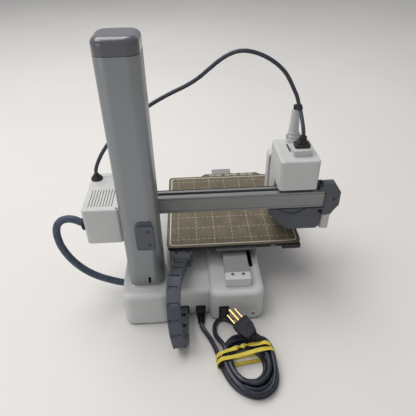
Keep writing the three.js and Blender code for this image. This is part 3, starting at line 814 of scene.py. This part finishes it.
def make_plug():
    """A moulded three-pin mains plug that lies on the coil, pins towards -Y in its own frame."""
    half_outline = [(6, 12), (8.6, 8), (11, 0), (11, -12), (9.5, -14)]
    mirrored = [(-x, y) for x, y in half_outline[::-1]]
    body = softened(prism("z", half_outline + mirrored, (-7, 7)), 2.4, 5, 30)
    flange_outline = [(-11.4, -13), (11.4, -13), (11.6, -8.6), (-11.6, -8.6)]
    flange = softened(prism("z", flange_outline, (-7.2, 7.2)), 1.6, 4, 30)
    places = [(side * 9.6, y) for side in (-1, 1) for y in (-6, -3.6, -1.2)]
    grips = [block(near(x, 1), (y, y + 1), (-4, 4), 0.3) for x, y in places]
    line = smooth_line([(0, 8, 0), (-0.6, 12, -0.2), (-2.6, 15.4, -1.6), (-6.4, 18.6, -3.4)], 1)
    tail = tube(line, lambda way, _: 4.9 - 0.12 * way - (0.5 if way % 2.4 > 1.4 else 0), 24)
    moulding = moved(gathered(body, flange, *grips, tail), PLUG_TURN)
    blades = [block(near(side * 6.3, 0.75, 0.75), (-31, -13), (-4.4, 1.6), 0.3) for side in (-1, 1)]
    earth = rod("y", (0, 2.6), 2.2, (-34, -13), 0.7, 28)
    pins = moved(gathered(*blades, earth), PLUG_TURN)
    return (
        piece("plug_body", moulding, "cord_moulding", "root", "mains_plug"),
        piece("plug_pins", pins, "brass", "root"),
    )


BAND_STRANDS = {
    "band_upper": [
        (-36.2, 220, 8), (-34.4, 220.2, 16), (-30.8, 220.2, 21.6), (-25.6, 219.8, 23.8),
        (-19, 218.6, 20.4), (-11, 217.4, 17.9), (-3, 218, 17.8), (5, 220, 17.7),
        (14, 222.4, 17.8), (22, 224.8, 18), (28.4, 226.8, 17.8), (33.8, 228, 13.6),
        (35, 228.2, 7.6), (34, 227.8, 2.4), (28, 227, 0.8), (12.7, 223.5, 0.7),
        (-3.2, 221, 0.7), (-18, 219.6, 0.7), (-31, 218, 0.7), (-36.8, 218.6, 2.6),
    ],
    "band_lower": [
        (-38, 226, 8), (-35.8, 225.4, 15.6), (-31.8, 225, 18.8), (-25, 225, 18.4),
        (-15, 226.4, 17.9), (-5, 229, 17.8), (5, 231.4, 17.8), (14, 233.2, 17.8),
        (22, 234.6, 18), (28.2, 235.4, 17.8), (33.2, 235.8, 13.8), (34.4, 235.8, 7.8),
        (33.2, 235.4, 2.4), (27, 234.4, 0.8), (11, 232.7, 0.7), (-6, 230.4, 0.7),
        (-22, 228.6, 0.7), (-33, 227, 0.7), (-38.8, 226.6, 2.6),
    ],
}
BAND_LOWEST = 0.9
BAND_MIDDLE = Vector((-4.5, 0, 9))
BAND_WIDTH = 5.6
BAND_THICKNESS = 1.1
TWISTED_FROM_TO = (-10, 16)
TWISTED_ABOVE = 12


def closed_line(points):
    """A smooth line round a ring of points, from the first back to just before it."""
    loop = [Vector(p) for p in points]
    line = smooth_line([*loop[-2:], *loop, *loop[:3]], 2)
    start = min(range(len(line)), key=lambda k: (line[k] - loop[0]).length)
    end = max(k for k in range(len(line)) if (line[k] - loop[0]).length < 0.01)
    return line[start:end]


def band_twist(name, point):
    """The upper strand makes one full twist on its way across the top."""
    if name != "band_upper" or point.z <= TWISTED_ABOVE:
        return 0.0
    return 2 * pi * eased(point.x, *TWISTED_FROM_TO)


def make_band():
    """The yellow elastic: two flat strands round the coil."""
    ties = []
    for name, points in BAND_STRANDS.items():
        line = [Vector((p.x, p.y, max(p.z, BAND_LOWEST))) for p in closed_line(points)]
        ups = []
        for k, point in enumerate(line):
            out = point - BAND_MIDDLE
            outward = Vector((out.x, 0, out.z * 3)).normalized()
            along = (line[(k + 1) % len(line)] - line[k - 1]).normalized()
            ups.append(Matrix.Rotation(band_twist(name, point), 3, along) @ outward)
        replaced = ["rubber_band"] if name == "band_lower" else []
        strand = strip(line, ups, BAND_WIDTH, BAND_THICKNESS)
        ties.append(piece(name, strand, "band", "root", *replaced))
    return ties


# ------------ base
LOBES = (
    ((-34.5, 38.7), (-146, 163.7), 52),
    ((30, 96), (-40, 150.5), 45.5),
    ((90, 153.7), (-40, 163.2), 54.5),
)
WALL = 2.5
SYMBOL = ((-23.4, -16), (7.2, 16))


def make_base():
    bottom = node_box("base_shell")[2][0]
    shell = fused(*(casing("z", x, y, (bottom, top), 13, 1, 7) for x, y, top in LOBES))
    hollows = [
        casing("z", shrink(x, WALL), shrink(y, WALL), (bottom - 1, top - WALL), 10.5) for x, y, top in LOBES
    ]
    openings = [
        casing("z", (-24.8, -19.2), (-90, 115), (46, 58), 2.6),
        casing("y", (44.2, 57.8), (4.2, 17.8), (145, 152), 2),
        casing("y", (66.6, 87.4), (bottom - 3, 19), (145, 152), 2.5),
        casing("y", (14, 26), (4.4, 28.6), (158, 165), 1.6),
        rod("x", (112, 30), 6, (148, 156)),
        block((102.4, 138.6), (109, 133), (49, 56)),
    ]
    piece("base_casing", cut(shell, *hollows, *openings), "white", "root", "base_shell")

    seat = casing("z", (96.4, 144.7), (95.1, 146.6), (53.4, 56.2), 14, 0, 1)
    seat = cut(seat, casing("z", (98.2, 142.9), (96.9, 144.8), (53, 57), 12.4))
    piece("column_seat_ring", seat, "white_inner", "root")

    x, z = SYMBOL
    border = casing("y", x, z, (163.4, 164), 0.6)
    border = cut(border, casing("y", shrink(x, 0.8), shrink(z, 0.8), (163, 165), 0.3))
    corners = [(a, b) for a in (-21.8, -19.2) for b in (9, 12.2)]
    inner = [casing("y", (a, a + 1.6), (b, b + 2), (163.4, 163.9), 0.3) for a, b in corners]
    piece("rear_symbol_frame", border, "print", "root")
    piece("rear_symbol_marks", gathered(*inner), "slate", "root")

    ring = casing("y", (13, 27), (3.9, 29.2), (162.6, 164.7), 2.2, 0, 0.6)
    ring = cut(ring, casing("y", (14.6, 25.4), (5, 28.1), (162, 166), 1.2))
    piece("switch_frame", ring, "black", "root")

    keep("rubber", 0.3, "foot_strip_bed_side", "foot_strip_column_side")
    keep("slate", 0.3, "base_plate")
    keep("steel", 0.6, "power_supply")
    keep("board", 0.2, "mainboard")
    keep("black", 0.3, "power_inlet")


def make_switch():
    """The two-position rocker, with its outer face dished."""
    x = node_box("power_switch")[0]
    outline = [(155.5, 7), (165.2, 6.6), (164.9, 9), (163.9, 13), (163.6, 16.5), (164, 20),
               (165.2, 24), (165.8, 26.4), (155.5, 26)]
    body = softened(prism("x", outline, x), 0.7, 3, 25)
    bar = block((19.4, 20.6), (162.6, 164.7), (20, 24.4), 0.2)
    piece("rocker_switch", gathered(body, bar), "black", "power_switch", "power_switch")


def make_screen():
    """The touch screen's housing at the front of the column's base."""
    keep("white", 2.2, "screen_housing")
    keep("glass", 0.3, "touch_screen")
    knob = lathe("y", (141, 17), [(0, -118.2), (6.4, -118.2), (6.4, -121.4), (5.9, -122.2), (0, -122.4)])
    piece("screen_ring_light", knob, "white_inner", "root")


# ------------ bed and its drive
def make_bed_drive():
    keep("rail", 0.5, "bed_rail")
    keep("slate", 0.5, "bed_motor")
    keep("rubber", 0.2, "bed_belt")
    for node in ("bed_motor_pulley", "bed_idler_pulley"):
        toothed_pulley(node, "x", 20)
    x, y, z = node_box("rail_end_block")
    screw_places = [(-7.6, y[0] + 4.4), (6.6, y[0] + 4.4)]
    body = casing("z", x, y, z, 2.2, 0.3, 1.4)
    holes = [rod("z", place, 2.5, near(z[1], 8)) for place in screw_places]
    piece("rail_end_cap", cut(body, *holes), "white", "root", "rail_end_block")
    heads = [screw(place, "z", z[1] - 4, 2.3) for place in screw_places]
    piece("rail_end_screws", gathered(*heads), "screw", "root")


TOOTH_DEPTH = 0.75


def toothed_pulley(node, axis, teeth):
    """A flanged timing pulley, its teeth cut along its axis, on the body of the same name."""
    spans = dict(zip("xyz", node_box(node)))
    across = [spans[k] for k in "xyz" if k != axis]
    centre = [sum(s) / 2 for s in across]
    radius = (across[0][1] - across[0][0]) / 2
    low, high = spans[axis]
    outline = []
    for k in range(teeth * 4):
        angle = 2 * pi * k / (teeth * 4)
        reach = radius - (TOOTH_DEPTH if k % 4 in (0, 1) else 0)
        outline.append((centre[0] + reach * cos(angle), centre[1] + reach * sin(angle)))
    toothed = prism(axis, outline, (low + 0.6, high - 0.6))
    flanges = [rod(axis, centre, radius + 0.5, ends, 0.15) for ends in ((low, low + 0.7), (high - 0.7, high))]
    piece(node + "_toothed", gathered(toothed, *flanges), "steel", node, node)


PLATE_GAP = 3.1


def bed_slab(inset, span, corner, low, high, steps=2):
    """A thin rounded square whose sides stand in from the bed's by the inset."""
    side = shrink((-BED_HALF, BED_HALF), inset)
    return casing("z", side, side, span, corner, low, high, steps)


def make_bed():
    top = node_box("print_plate")[2][1]
    sheet = (top - 0.9, top)
    tab = softened(prism("z", [(-71, -93), (-61, -103), (31, -103), (41, -93)], sheet), 0.2, 2)
    spring = fused(bed_slab(0, sheet, 7, 0.15, 0.15), tab)
    spring = cut(spring, *(rod("z", (x, -88), 2, near(top, 2)) for x in (-84, 84)))
    piece("print_sheet", spring, "sheet", "bed", "print_plate")

    flat = near(top, 0.05, 0.06)
    ring = [(3.4, flat[0]), (3.4, flat[1]), (2.6, flat[1]), (2.6, flat[0])]
    marks = [lathe("z", (centre, -98.4), ring, 32, looped=True) for centre in (20, 6, -8, -22, -36, -50)]
    bars = [block(near(centre, 3, 3), (-98.9, -97.9), flat) for centre in (13, -15, -43)]
    piece("tab_marks", gathered(*marks, *bars), "print", "bed", slot="bed_sheet")
    piece("magnet_sheet", bed_slab(1, (top - 2.9, top - 1.0), 6, 0.2, 0.2), "rubber", "bed", slot="bed_frame")

    low, high = node_box("heatbed")[2][0], top - PLATE_GAP
    tray = bed_slab(2, (low, high), 5, 0.8, 0.3, 3)
    rim = cut(bed_slab(1.4, (low, high - 1.4), 5.4, 0.4, 0.4, 3), bed_slab(5, (low - 1, high - 2.6), 4, 0, 0))
    hinge = block((-94.6, -68.4), (86.4, 96.6), (low - 2.4, high - 0.2), 0.8)
    rib_spans = [(2.7 * k - 93, 2.7 * k - 91.8) for k in range(9)]
    ribs = [block(span, (96.2, 97.3), (low - 1.6, high - 0.8), 0.2) for span in rib_spans]
    piece("heated_tray", gathered(tray, rim, hinge, *ribs), "heatbed", "bed", "heatbed")
    ledge_outline = [(-33, 85), (27, 85), (25, 99.4), (-31, 99.4)]
    ledge = softened(prism("z", ledge_outline, (low + 0.6, low + 3.4)), 0.5, 3)
    skirt = block((-31, -26), (85, 99), near(low, 9), 0.5)
    piece("tray_ledge", gathered(ledge, skirt), "charcoal", "bed", slot="bed_frame")
    clip = block((-58.4, -52), (94.4, 95.6), (high - 1.2, high - 0.2), 0.2)
    piece("tray_contact", clip, "steel", "bed")
    keep("slate", 0.8, "bed_carriage")
    make_chain_mount()


def make_chain_mount():
    x, y, z = node_box("chain_bracket")
    box = casing("z", x, (93.6, y[1]), (z[0], 71.6), 2.6, 0.6, 1.4)
    box = cut(box, casing("z", shrink(x, 2), (95, 103), (70.8, 73), 1.4))
    lip = casing("y", shrink(x, 3), (57.6, 68), near(y[1], 1.4, 0.8), 1.2, 0, 0.5)
    tongue = block((63, 83), (78, 96), (62, z[1]), 0.4)
    hood = casing("y", shrink(x, 1.5), (57.4, 71.8), (104, 115.5), 2.2, 0, 0.8)
    piece("chain_mount", gathered(box, lip, tongue, hood), "chain", "bed", "chain_bracket")
    bolts = [screw((a, 100), "z", 71.7, 1.7) for a in (64.4, 81.6)]
    piece("chain_mount_bolts", gathered(*bolts), "screw", "bed")


CHAIN_POINTS = [
    (73.6, 108.2, 64.6), (73.8, 113, 64.8), (75, 121, 67.2), (78, 134, 72.5), (80.7, 150, 78),
    (83, 167, 80.5), (84.2, 183, 77), (84.3, 196, 67), (83.8, 204.5, 53), (82.2, 210.5, 38),
    (80, 212.7, 24), (78, 208.5, 13.4), (76.9, 197, 10.2), (76.8, 180, 10.1), (76.8, 146, 10.1),
]
LINK_PITCH = 18.6
LINK_HALF = 8.4
LINK_RISE = 6.0


def pill(half_length, radius):
    """The outline of a bar with round ends."""
    steps = 8
    points = []
    for centre, first in ((half_length, -90), (-half_length, 90)):
        for k in range(steps + 1):
            angle = radians(first + 180 * k / steps)
            points.append((centre + radius * cos(angle), radius * sin(angle)))
    return points


def chain_link():
    """One link, along X with its width along Y: two stepped cheeks, two bars, a tongue and the pins."""
    solids = []
    for side in (-1, 1):
        outer = [(u + LINK_PITCH * 0.22, w) for u, w in pill(LINK_PITCH * 0.28, LINK_RISE - 0.1)]
        inner = [(u - LINK_PITCH * 0.22, w) for u, w in pill(LINK_PITCH * 0.28, LINK_RISE - 0.7)]
        far, near_side, core = (side * v for v in (LINK_HALF, LINK_HALF - 1.7, LINK_HALF - 3.3))
        solids.append(softened(prism("y", outer, sorted((far, near_side))), 0.35, 2))
        solids.append(softened(prism("y", inner, sorted((near_side, core))), 0.3, 2))
        for hub in (LINK_PITCH * 0.5, -LINK_PITCH * 0.1):
            solids.append(rod("y", (hub, 0), 2.1, sorted((far + side * 0.35, near_side)), 0.3, 20))
    across = (0.4 - LINK_HALF, LINK_HALF - 0.4)
    for start, end, width, low, high, ease in (
        (-0.42, 0.44, across, -LINK_RISE, -LINK_RISE + 1.5, 0.4),
        (-0.31, 0.4, across, LINK_RISE - 1.5, LINK_RISE, 0.4),
        (0.36, 0.68, shrink(across, 3.4), -LINK_RISE + 1.6, -LINK_RISE + 2.4, 0.2),
    ):
        solids.append(block((LINK_PITCH * start, LINK_PITCH * end), width, (low, high), ease))
    return gathered(*solids)


def across_and_rise(along):
    """The directions of a link's pins and of its height, from the one that it lies along."""
    across = (Vector((1, 0, 0)) - along * along.x).normalized()
    return across, along.cross(across)


def make_chain():
    line = evenly(smooth_line(CHAIN_POINTS, 2), LINK_PITCH)
    pattern = chain_link()
    links = []
    for a, b in zip(line, line[1:]):
        along = (b - a).normalized()
        turn = Matrix((along, *across_and_rise(along))).transposed().to_4x4()
        link = linked("link", pattern.data.copy())
        links.append(moved(link, Matrix.Translation((a + b) / 2) @ turn))
    bpy.data.objects.remove(pattern)
    chain = piece("energy_chain_links", gathered(*links), "chain", None, "energy_chain")
    line = smooth_line(CHAIN_POINTS, 3)
    rings = []
    for k, point in enumerate(line):
        across, rise = across_and_rise(direction_at(line, k))
        rings.append([point + across * a + rise * b for a, b in rounded((-3.9, 3.9), (-3.4, 3.4), 1.4, 3)])
    wires = piece("chain_wires", skin(rings), "rubber", None, slot="cable_sheath")
    for obj in (chain, wires):
        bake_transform(obj)


# ------------ column
def make_column():
    x, y, z = node_box("column")
    tube_body = casing("z", x, y, z, 13, 0.3, 0.3, 2)
    bore = casing("z", shrink(x, WALL), shrink(y, WALL), wider(z), 10.5)
    slot = casing("z", (111.5, 129.5), near(y[0], 2, 4), (68, 342), 1)
    keyhole = casing("y", (114.3, 117.7), (60, 71), near(y[1], 4), 0.7)
    seams = [
        block(side, (a, a + 0.9), (z[0] + 3, z[1] + 1))
        for side in (near(x[0], 1, 0.7), near(x[1], 0.7))
        for a in (y[1] - 17, y[0] + 16)
    ]
    piece("column_extrusion", cut(tube_body, bore, slot, keyhole, *seams), "column", "root", "column")

    x, y, z = node_box("column_cap")
    cap = casing("z", x, y, z, 13, 0.5, 6.5, 8)
    cap = cut(cap, casing("z", shrink(x, 3.2), shrink(y, 3.2), near(z[0], 1, 9), 9.8))
    piece("column_lid", cap, "cap", "root", "column_cap")

    low, high = node_box("spool_bracket")[1]
    plate = casing("y", (103.2, 126), (120.6, 156.6), (low, high), 4, 0, 1.4)
    tongue = casing("y", (104.6, 122.8), (150, 160.8), (low, low + 1.8), 3, 0, 0.6)
    lip = casing("y", (103.8, 124.6), (153.6, 156.4), (low + 1, high + 1.6), 1.3, 0, 1)
    piece("spool_hook", fused(plate, tongue, lip), "hook", "root", "spool_bracket")
    heads = [screw((109.2, level), "y", high + 0.35, 1.9) for level in (130, 149.4)]
    piece("spool_hook_screws", gathered(*heads), "screw", "root")
    keep("slate", 0.5, "lift_motor")
    keep("steel", 0.2, "lift_guides")
    threaded_rod()


SCREW_RADIUS = 4
SCREW_LEAD = 8
SCREW_STARTS = 4
THREAD_HALF_DEPTH = 0.4
THREAD_STEP = 0.8
THREAD_SIDES = 20


def threaded_rod():
    """The lead screw: a four-start thread of 8 mm lead on an 8 mm bar."""
    x, y, z = node_box("lift_screw")
    middle = Vector((sum(x) / 2, sum(y) / 2, 0))
    rings = []
    count = round((z[1] - z[0]) / THREAD_STEP)
    for k in range(count + 1):
        level = z[0] + (z[1] - z[0]) * k / count
        ring = []
        for angle in (2 * pi * i / THREAD_SIDES for i in range(THREAD_SIDES)):
            wave = cos(SCREW_STARTS * (angle - 2 * pi * level / SCREW_LEAD))
            reach = SCREW_RADIUS - 0.45 + THREAD_HALF_DEPTH * wave
            ring.append(middle + Vector((reach * cos(angle), reach * sin(angle), level)))
        rings.append(ring)
    piece("lead_screw_thread", skin(rings), "steel", "lift_screw", "lift_screw", smooth=60)


# ------------ arm
GROOVE = (80.8, 86.7)


def make_arm():
    x, y, z = node_box("beam")
    beam = cut(
        block(x, y, z, 0.5),
        block(wider(x), GROOVE, (z[0] + 8, z[1] + 1)),
        block(wider(x), near(y[1], 0.5), (z[1] - 3.2, z[1] - 2.6)),
        block(wider(x), near(y[1], 0.5), (z[0] + 2.6, z[0] + 3.2)),
    )
    piece("beam_extrusion", beam, "beam", "arm", "beam")
    liner = block(shrink(x, 1), shrink(GROOVE, 0.2), (z[0] + 8.2, z[0] + 14.8), 0.3)
    piece("beam_groove_liner", liner, "rubber", "arm")
    keep("steel", 0.3, "beam_rail")
    keep("charcoal", 0.8, "lift_carriage")
    keep("slate", 0.5, "arm_motor")
    keep("rubber", 0.2, "arm_belt")
    for node in ("arm_motor_pulley", "arm_idler_pulley"):
        toothed_pulley(node, "z", 16)
    make_motor_housing()
    make_end_cap()


SEAM = (39.6, 40.2)
ARM_CABLE_HOLE = (112, 138)
HEAD_CABLE_HOLE = (184, 45.3)


def make_motor_housing():
    x, y, z = node_box("motor_housing")
    tools = [
        block(shrink(x, WALL), shrink(y, WALL), (z[0] - 1, z[1] - WALL)),
        block(near(x[0], 1, 4), (66, 88), (147, 158)),
        rod("x", ARM_CABLE_HOLE, 6, near(x[1], 5)),
        rod("z", HEAD_CABLE_HOLE, 5.8, near(z[1], 5)),
        block(wider(x), SEAM, near(z[1], 0.6)),
        block(near(x[1], 0.6), SEAM, wider(z)),
    ]
    for k in range(9):
        tools.append(casing("z", (155.2 + 3.6 * k, 156.2 + 3.6 * k), (74, 113), near(z[1], 4), 0.48, steps=3))
    cover = cut(casing("z", x, y, z, 4.5, 0.6, 2.4), *tools)
    piece("motor_cover", cover, "white", "arm", "motor_housing")
    panel = casing("x", shrink(y, 5), shrink(z, 5), near(x[1], 0.2, 0.5), 2.5, 0, 0.3)
    panel = cut(panel, rod("x", ARM_CABLE_HOLE, 6.2, near(x[1], 2, 2)))
    piece("motor_cover_panel", panel, "white", "arm")
    under = z[1] - WALL
    piece("vent_filter", block((153.5, 187), (72, 115), (under - 0.9, under - 0.4)), "white_inner", "arm")
    bolt = screw((149.4, y[1] - 3.4), "z", z[1] + 0.3, 1.5)
    piece("motor_cover_screw", bolt, "screw", "arm")
    collar = raised_lathe("x", ARM_CABLE_HOLE, x[1], [
        (4.9, -3), (5.9, -3), (5.9, 0.2), (8, 0.4), (8, 2.4), (7.2, 3.4), (4.9, 3.4),
    ])
    piece("arm_cable_collar", collar, "rubber", "arm")
    top = node_box("cable_grommet")[2][1] - z[1]
    sleeve = raised_lathe("z", HEAD_CABLE_HOLE, z[1], [
        (2.6, -4), (5.4, -4), (5.4, 0.2), (7.8, 0.3), (7.9, 1.4), (7, 3.2), (5, 4.2), (4.2, top), (2.6, top),
    ])
    piece("head_cable_grommet", sleeve, "rubber", "arm", "cable_grommet")


def make_end_cap():
    y = (62, 95.2)
    outline = [(-113.5, 171.5), (-128.5, 171.5), (-138.4, 157), (-138.8, 137), (-134.2, 130.6),
               (-128.4, 121), (-118.4, 127.5), (-118.4, 159), (-113.5, 159)]
    body = softened(prism("y", outline, y), 1.0, 3)
    slope = prism("x", [(61, 156.4), (89, 172), (61, 172)], (-140, -112))
    body = cut(body, block((-134.6, -112), (66, 88), (147, 158.8)), slope)
    solids = [
        block((-132, -120.5), (66, 84), (114.5, 119.5), 0.6),
        block((-131, -120.5), (68, 82), (114.5, 129), 0.6),
        block((-116.6, -110.4), (74, 94.6), (158.9, 164.4), 0.7),
        block((-124, -107), (72, 95), (131.2, 133.6), 0.6),
        block((-124, -117.6), (72, 95), (121, 133.6), 1.2),
    ]
    teeth = [block((-116.8, -110.2), (75 + 3 * k, 76.4 + 3 * k), (164, 165.6), 0.3) for k in range(6)]
    piece("beam_end_cover", gathered(body, *solids, *teeth), "slate", "arm", "beam_end_cap")
    piece("beam_end_screw", screw((-130, 147), "y", y[1] + 0.4, 2.2), "screw", "arm")
    x, y, z = node_box("nozzle_wiper")
    pad = casing("z", x, y, (z[0] + 2, z[1]), 2.6, 0.8, 0.8)
    blade = block((x[0] + 2, x[0] + 3.6), shrink(y, 2), (z[0], z[0] + 4), 0.3)
    piece("wiper_block", pad, "white", "arm", "nozzle_wiper")
    piece("wiper_blade", blade, "rubber", "arm")


# ------------ print head
FACE = 62
HEAD_TOP = 204.5
OVERHANG = 162.5
NOZZLE_AT = (-84, 36)
SIDE_SCREW_AT = (33.4, 166.6)
HEAD_FAN_AT = (-82, 140)
PART_FAN_AT = (-82, 113)


def make_head():
    x = node_box("head_housing")[0]
    shell = fused(
        casing("z", x, (28, 94.5), (OVERHANG, HEAD_TOP), 4.5, 0.8, 2.6),
        casing("z", x, (28, FACE), (96, OVERHANG + 6), 1.6, 1, 0),
        casing("z", (-96.5, -73.5), (59, 82), near(HEAD_TOP, 1.5, 8.3), 2, 0, 0.8),
    )
    tools = [
        block(shrink(x, 2), (27, FACE - 2), (94, HEAD_TOP - 2)),
        block(shrink(x, 2), (27, 92.5), (OVERHANG + 2, HEAD_TOP - 2)),
        block((-99, -65), near(FACE, 3, 8.2), near(OVERHANG, 1, 3)),
        rod("z", NOZZLE_AT, 3.2, near(HEAD_TOP, 5)),
        casing("z", (-74.4, -71.6), (44, 67), near(HEAD_TOP, 5), 1.2),
        rod("x", SIDE_SCREW_AT, 1.6, near(x[1], 4)),
        block(near(x[1], 0.5), (31, 31.8), (98, HEAD_TOP - 4)),
    ]
    tools += [casing("x", (88 - 5 * k, 90 - 5 * k), (172, 192), near(x[0], 1, 4), 0.9) for k in range(5)]
    piece("head_shell", cut(shell, *tools), "white", "head", "head_housing")
    piece("head_side_screw", screw(SIDE_SCREW_AT, "x", x[1] - 0.8, 1.3), "screw", "head")
    liner = block((-76, -70), (42, 68.6), (HEAD_TOP - 2.6, HEAD_TOP - 1.8))
    piece("head_slot_liner", liner, "black", "head")
    make_front_cover()
    make_fan_duct()
    make_filament_guide()
    make_cable_end()
    keep("slate", 0.5, "head_carriage")
    keep("slate", 0.4, "feed_motor")
    keep("steel", 0.15, "heat_sink")
    keep("brass", 0.3, "hot_end")
    keep("brass", 0.12, "drive_gear", "pinch_gear")
    make_lever()


def make_front_cover():
    x, y, z = node_box("head_front_cover")
    x, z = (x[0], x[1] - 2), (z[0], z[1] - 4)
    tools = [
        casing("y", shrink(x, 2.2), shrink(z, 2.2), (7.2, y[1] + 1), 7, 6, 0),
        rod("y", HEAD_FAN_AT, 12.5, (4, 9)),
        block(near(x[0], 1, 4), (9.4, 22.6), (129.4, 158.6)),
        block(wider(x), (4, 5.5), (166, 166.8)),
    ]
    tools += [casing("x", (12, 24), (104 + 4 * k, 105.6 + 4 * k), near(x[1], 4), 0.7) for k in range(5)]
    cover = cut(casing("y", x, z, y, 9, 8, 1.2, 8), *tools)
    piece("head_face_cover", cover, "white", "head", "head_front_cover")
    rings = []
    for r in (4, 7.6, 11.2):
        rings.append(lathe("y", HEAD_FAN_AT, [(r, 5.4), (r + 0.9, 5.4), (r + 0.9, 7), (r, 7)], looped=True))
    spokes = [moved(block((-0.5, 0.5), (5.6, 6.8), (3, 12.6)), on_axle(HEAD_FAN_AT, k / 6)) for k in range(6)]
    piece("head_fan_grille", gathered(*rings, *spokes), "slate", "head")
    axial_fan("head_fan", HEAD_FAN_AT, 12, (12, 20), 7)
    lamp = casing("y", (-92, -72), (108, 112), (4.8, 5.6), 1.8, 0.3, 0)
    piece("head_lamp", lamp, "white_inner", "head")


def on_axle(centre, turns):
    """The matrix that turns a solid about Y and takes it to an axle at (x, z)."""
    turn = Matrix.Rotation(2 * pi * turns, 4, "Y")
    return Matrix.Translation((centre[0], 0, centre[1])) @ turn


def axial_fan(node, centre, radius, span, blades):
    """A hub with pitched blades, turning about Y on the body of the same name."""
    low, high = span
    middle = (low + high) / 2
    half = (high - low) / 2 - 1
    rings = []
    for reach in (0.36, 0.6, 0.85, 0.985):
        twist = 0.95 - 0.5 * reach
        spread = half / tan(twist + 0.35)
        chord = [(-spread, -half), (-spread * 0.1, 0.25), (spread, half), (spread * 0.1, -0.55)]
        rings.append([(u, middle + w, radius * reach) for u, w in chord])
    made = [moved(skin(rings), on_axle(centre, k / blades)) for k in range(blades)]
    hub = rod("y", centre, radius * 0.42, span, 0.8, 32)
    piece(node + "_rotor", gathered(hub, *made), "black", node, node)


def make_fan_duct():
    y = node_box("fan_duct")[1]
    outline = [(-46, 130.5), (-47, 122), (-58, 108), (-74, 95), (-114, 95), (-118, 98.5), (-118, 119),
               (-114.6, 123), (-114.6, 130.5)]
    body = softened(prism("y", outline, y), 1.6, 4, 20)
    body = cut(body, rod("y", PART_FAN_AT, 16, (69, 86)), block((-96, -70), (74, 84), (93, 98)))
    rim_profile = [(20.4, 88.6), (22.6, 88.6), (22.6, 90.4), (21.9, 91), (20.4, 91)]
    rim = lathe("y", (-78, 143), rim_profile, 96, looped=True)
    rim = cut(rim, block((-110, -40), (80, 95), (129.8, 180)))
    piece("part_fan_duct", gathered(body, rim), "slate", "head", "fan_duct", slot="moulded_black")

    hub = rod("y", PART_FAN_AT, 6.4, (73, 83.4), 0.7, 32)
    disc = rod("y", PART_FAN_AT, 13.6, (82.4, 83.4), 0.3, 48)
    crown = lathe("y", PART_FAN_AT, [(12.8, 72.8), (13.9, 72.8), (13.9, 74), (12.8, 74)], looped=True)
    arc = [(0.0, 9.0), (0.9, 10.6), (1.1, 12.2), (0.6, 13.9)]
    vane = [*arc, *((u + 0.45, r) for u, r in arc[::-1])]
    vanes = [moved(prism("y", vane, (73, 82.8)), on_axle(PART_FAN_AT, k / 25)) for k in range(25)]
    piece("part_fan_rotor", gathered(hub, disc, crown, *vanes), "slate", "part_fan", "part_fan")


def make_filament_guide():
    centre = (NOZZLE_AT[0] + 1.5, NOZZLE_AT[1])
    tip = node_box("filament_guide")[2][1] - HEAD_TOP
    post = raised_lathe("z", centre, HEAD_TOP, [
        (1.4, 0.3), (9, 0.3), (9.1, 3.6), (8.4, 4.8), (7.4, 5), (7.4, 6.6), (8, 7), (8, 8.8), (7.2, 9.6),
        (6.9, 10), (6.9, 12), (7.5, 12.5), (7.5, 14), (6.8, 15), (6.6, 18), (5.2, tip - 0.8), (4.7, tip),
        (1.4, tip),
    ])
    lug_z = (HEAD_TOP + 5, HEAD_TOP + 11)
    lugs = [block(near(centre[0] + side * 8.2, 1.2, 1.2), (34, 38), lug_z, 0.5) for side in (-1, 1)]
    piece("filament_inlet", gathered(post, *lugs), "white", "head", "filament_guide")


CLIP_SPAN = (251.4, 258.6)


def make_cable_end():
    """The clip that holds the head's cable to the guide, and the plug that it ends in."""
    low, high = CLIP_SPAN
    clipped = [p for p in smooth_line(HEAD_CABLE_POINTS, 3) if low < p.z < high and p.x < -80]
    ring = tube(clipped, lambda *_: HEAD_CABLE_RADIUS + 1.2, 24)
    knob = casing("z", (-85.3, -79), (33, 39), (249.4, 255.6), 2.6, 0.8, 1.8)
    bridge = block((-86, -81.8), (36, 43.4), (252.4, 256.2), 0.8)
    piece("cable_clamp", gathered(ring, knob, bridge), "black", "head", "cable_clip")

    boot = casing("z", (-96, -76), (62, 76), (HEAD_TOP + 8.6, 217.8), 2, 0.6, 1.6)
    slope = [(-94, 216.6), (-78, 216.6), (-81.2, 221.6), (-91.4, 221.6)]
    shoulder = softened(prism("y", slope, (64, 74)), 1.2, 3)
    centre = (-86.3, 69)
    neck = lathe("z", centre, [(0, 219), (4.5, 219.4), (4.3, 222), (3.7, 225), (3.2, 227.6), (0, 227.8)])
    grip = [(3.4, 0), (4.9, 0.3), (4.9, 1.1), (3.4, 1.4)]
    grips = [raised_lathe("z", centre, level, grip) for level in (221.6, 223.4, 225.2)]
    piece("head_cable_plug", gathered(boot, shoulder, neck, *grips), "black", "head", "cable_plug")


def make_lever():
    x, y, z = node_box("cutter_lever")
    body = casing("x", y, z, x, 2.4, 1.2, 0.3)
    grips = [block(near(x[0], 0.4), shrink(y, 2), (136 + 4 * k, 137.2 + 4 * k), 0.3) for k in range(4)]
    piece("cutter_button", gathered(body, *grips), "charcoal", "cutter_lever", "cutter_lever")


# ------------ floor
FLOOR = ((-6000, 6000), (-9000, 3000), (-4, 0))


def make_floor():
    floor = block(*FLOOR)
    floor.data.transform(TO_ROW)
    floor.name = "floor"
    look = Look("floor_paper", 0.7)
    look.tint(look.noise(1.2, 3), (214, 212, 209), (221, 219, 216))
    look.bump(look.noise(300, 3), 0.0001, 0.2)
    floor.data.materials.append(look.material)


place_camera()
light_the_scene()
make_floor()
make_cables()
make_power_cord()
make_base()
make_switch()
make_screen()
make_bed_drive()
make_bed()
make_chain()
make_column()
make_arm()
make_head()
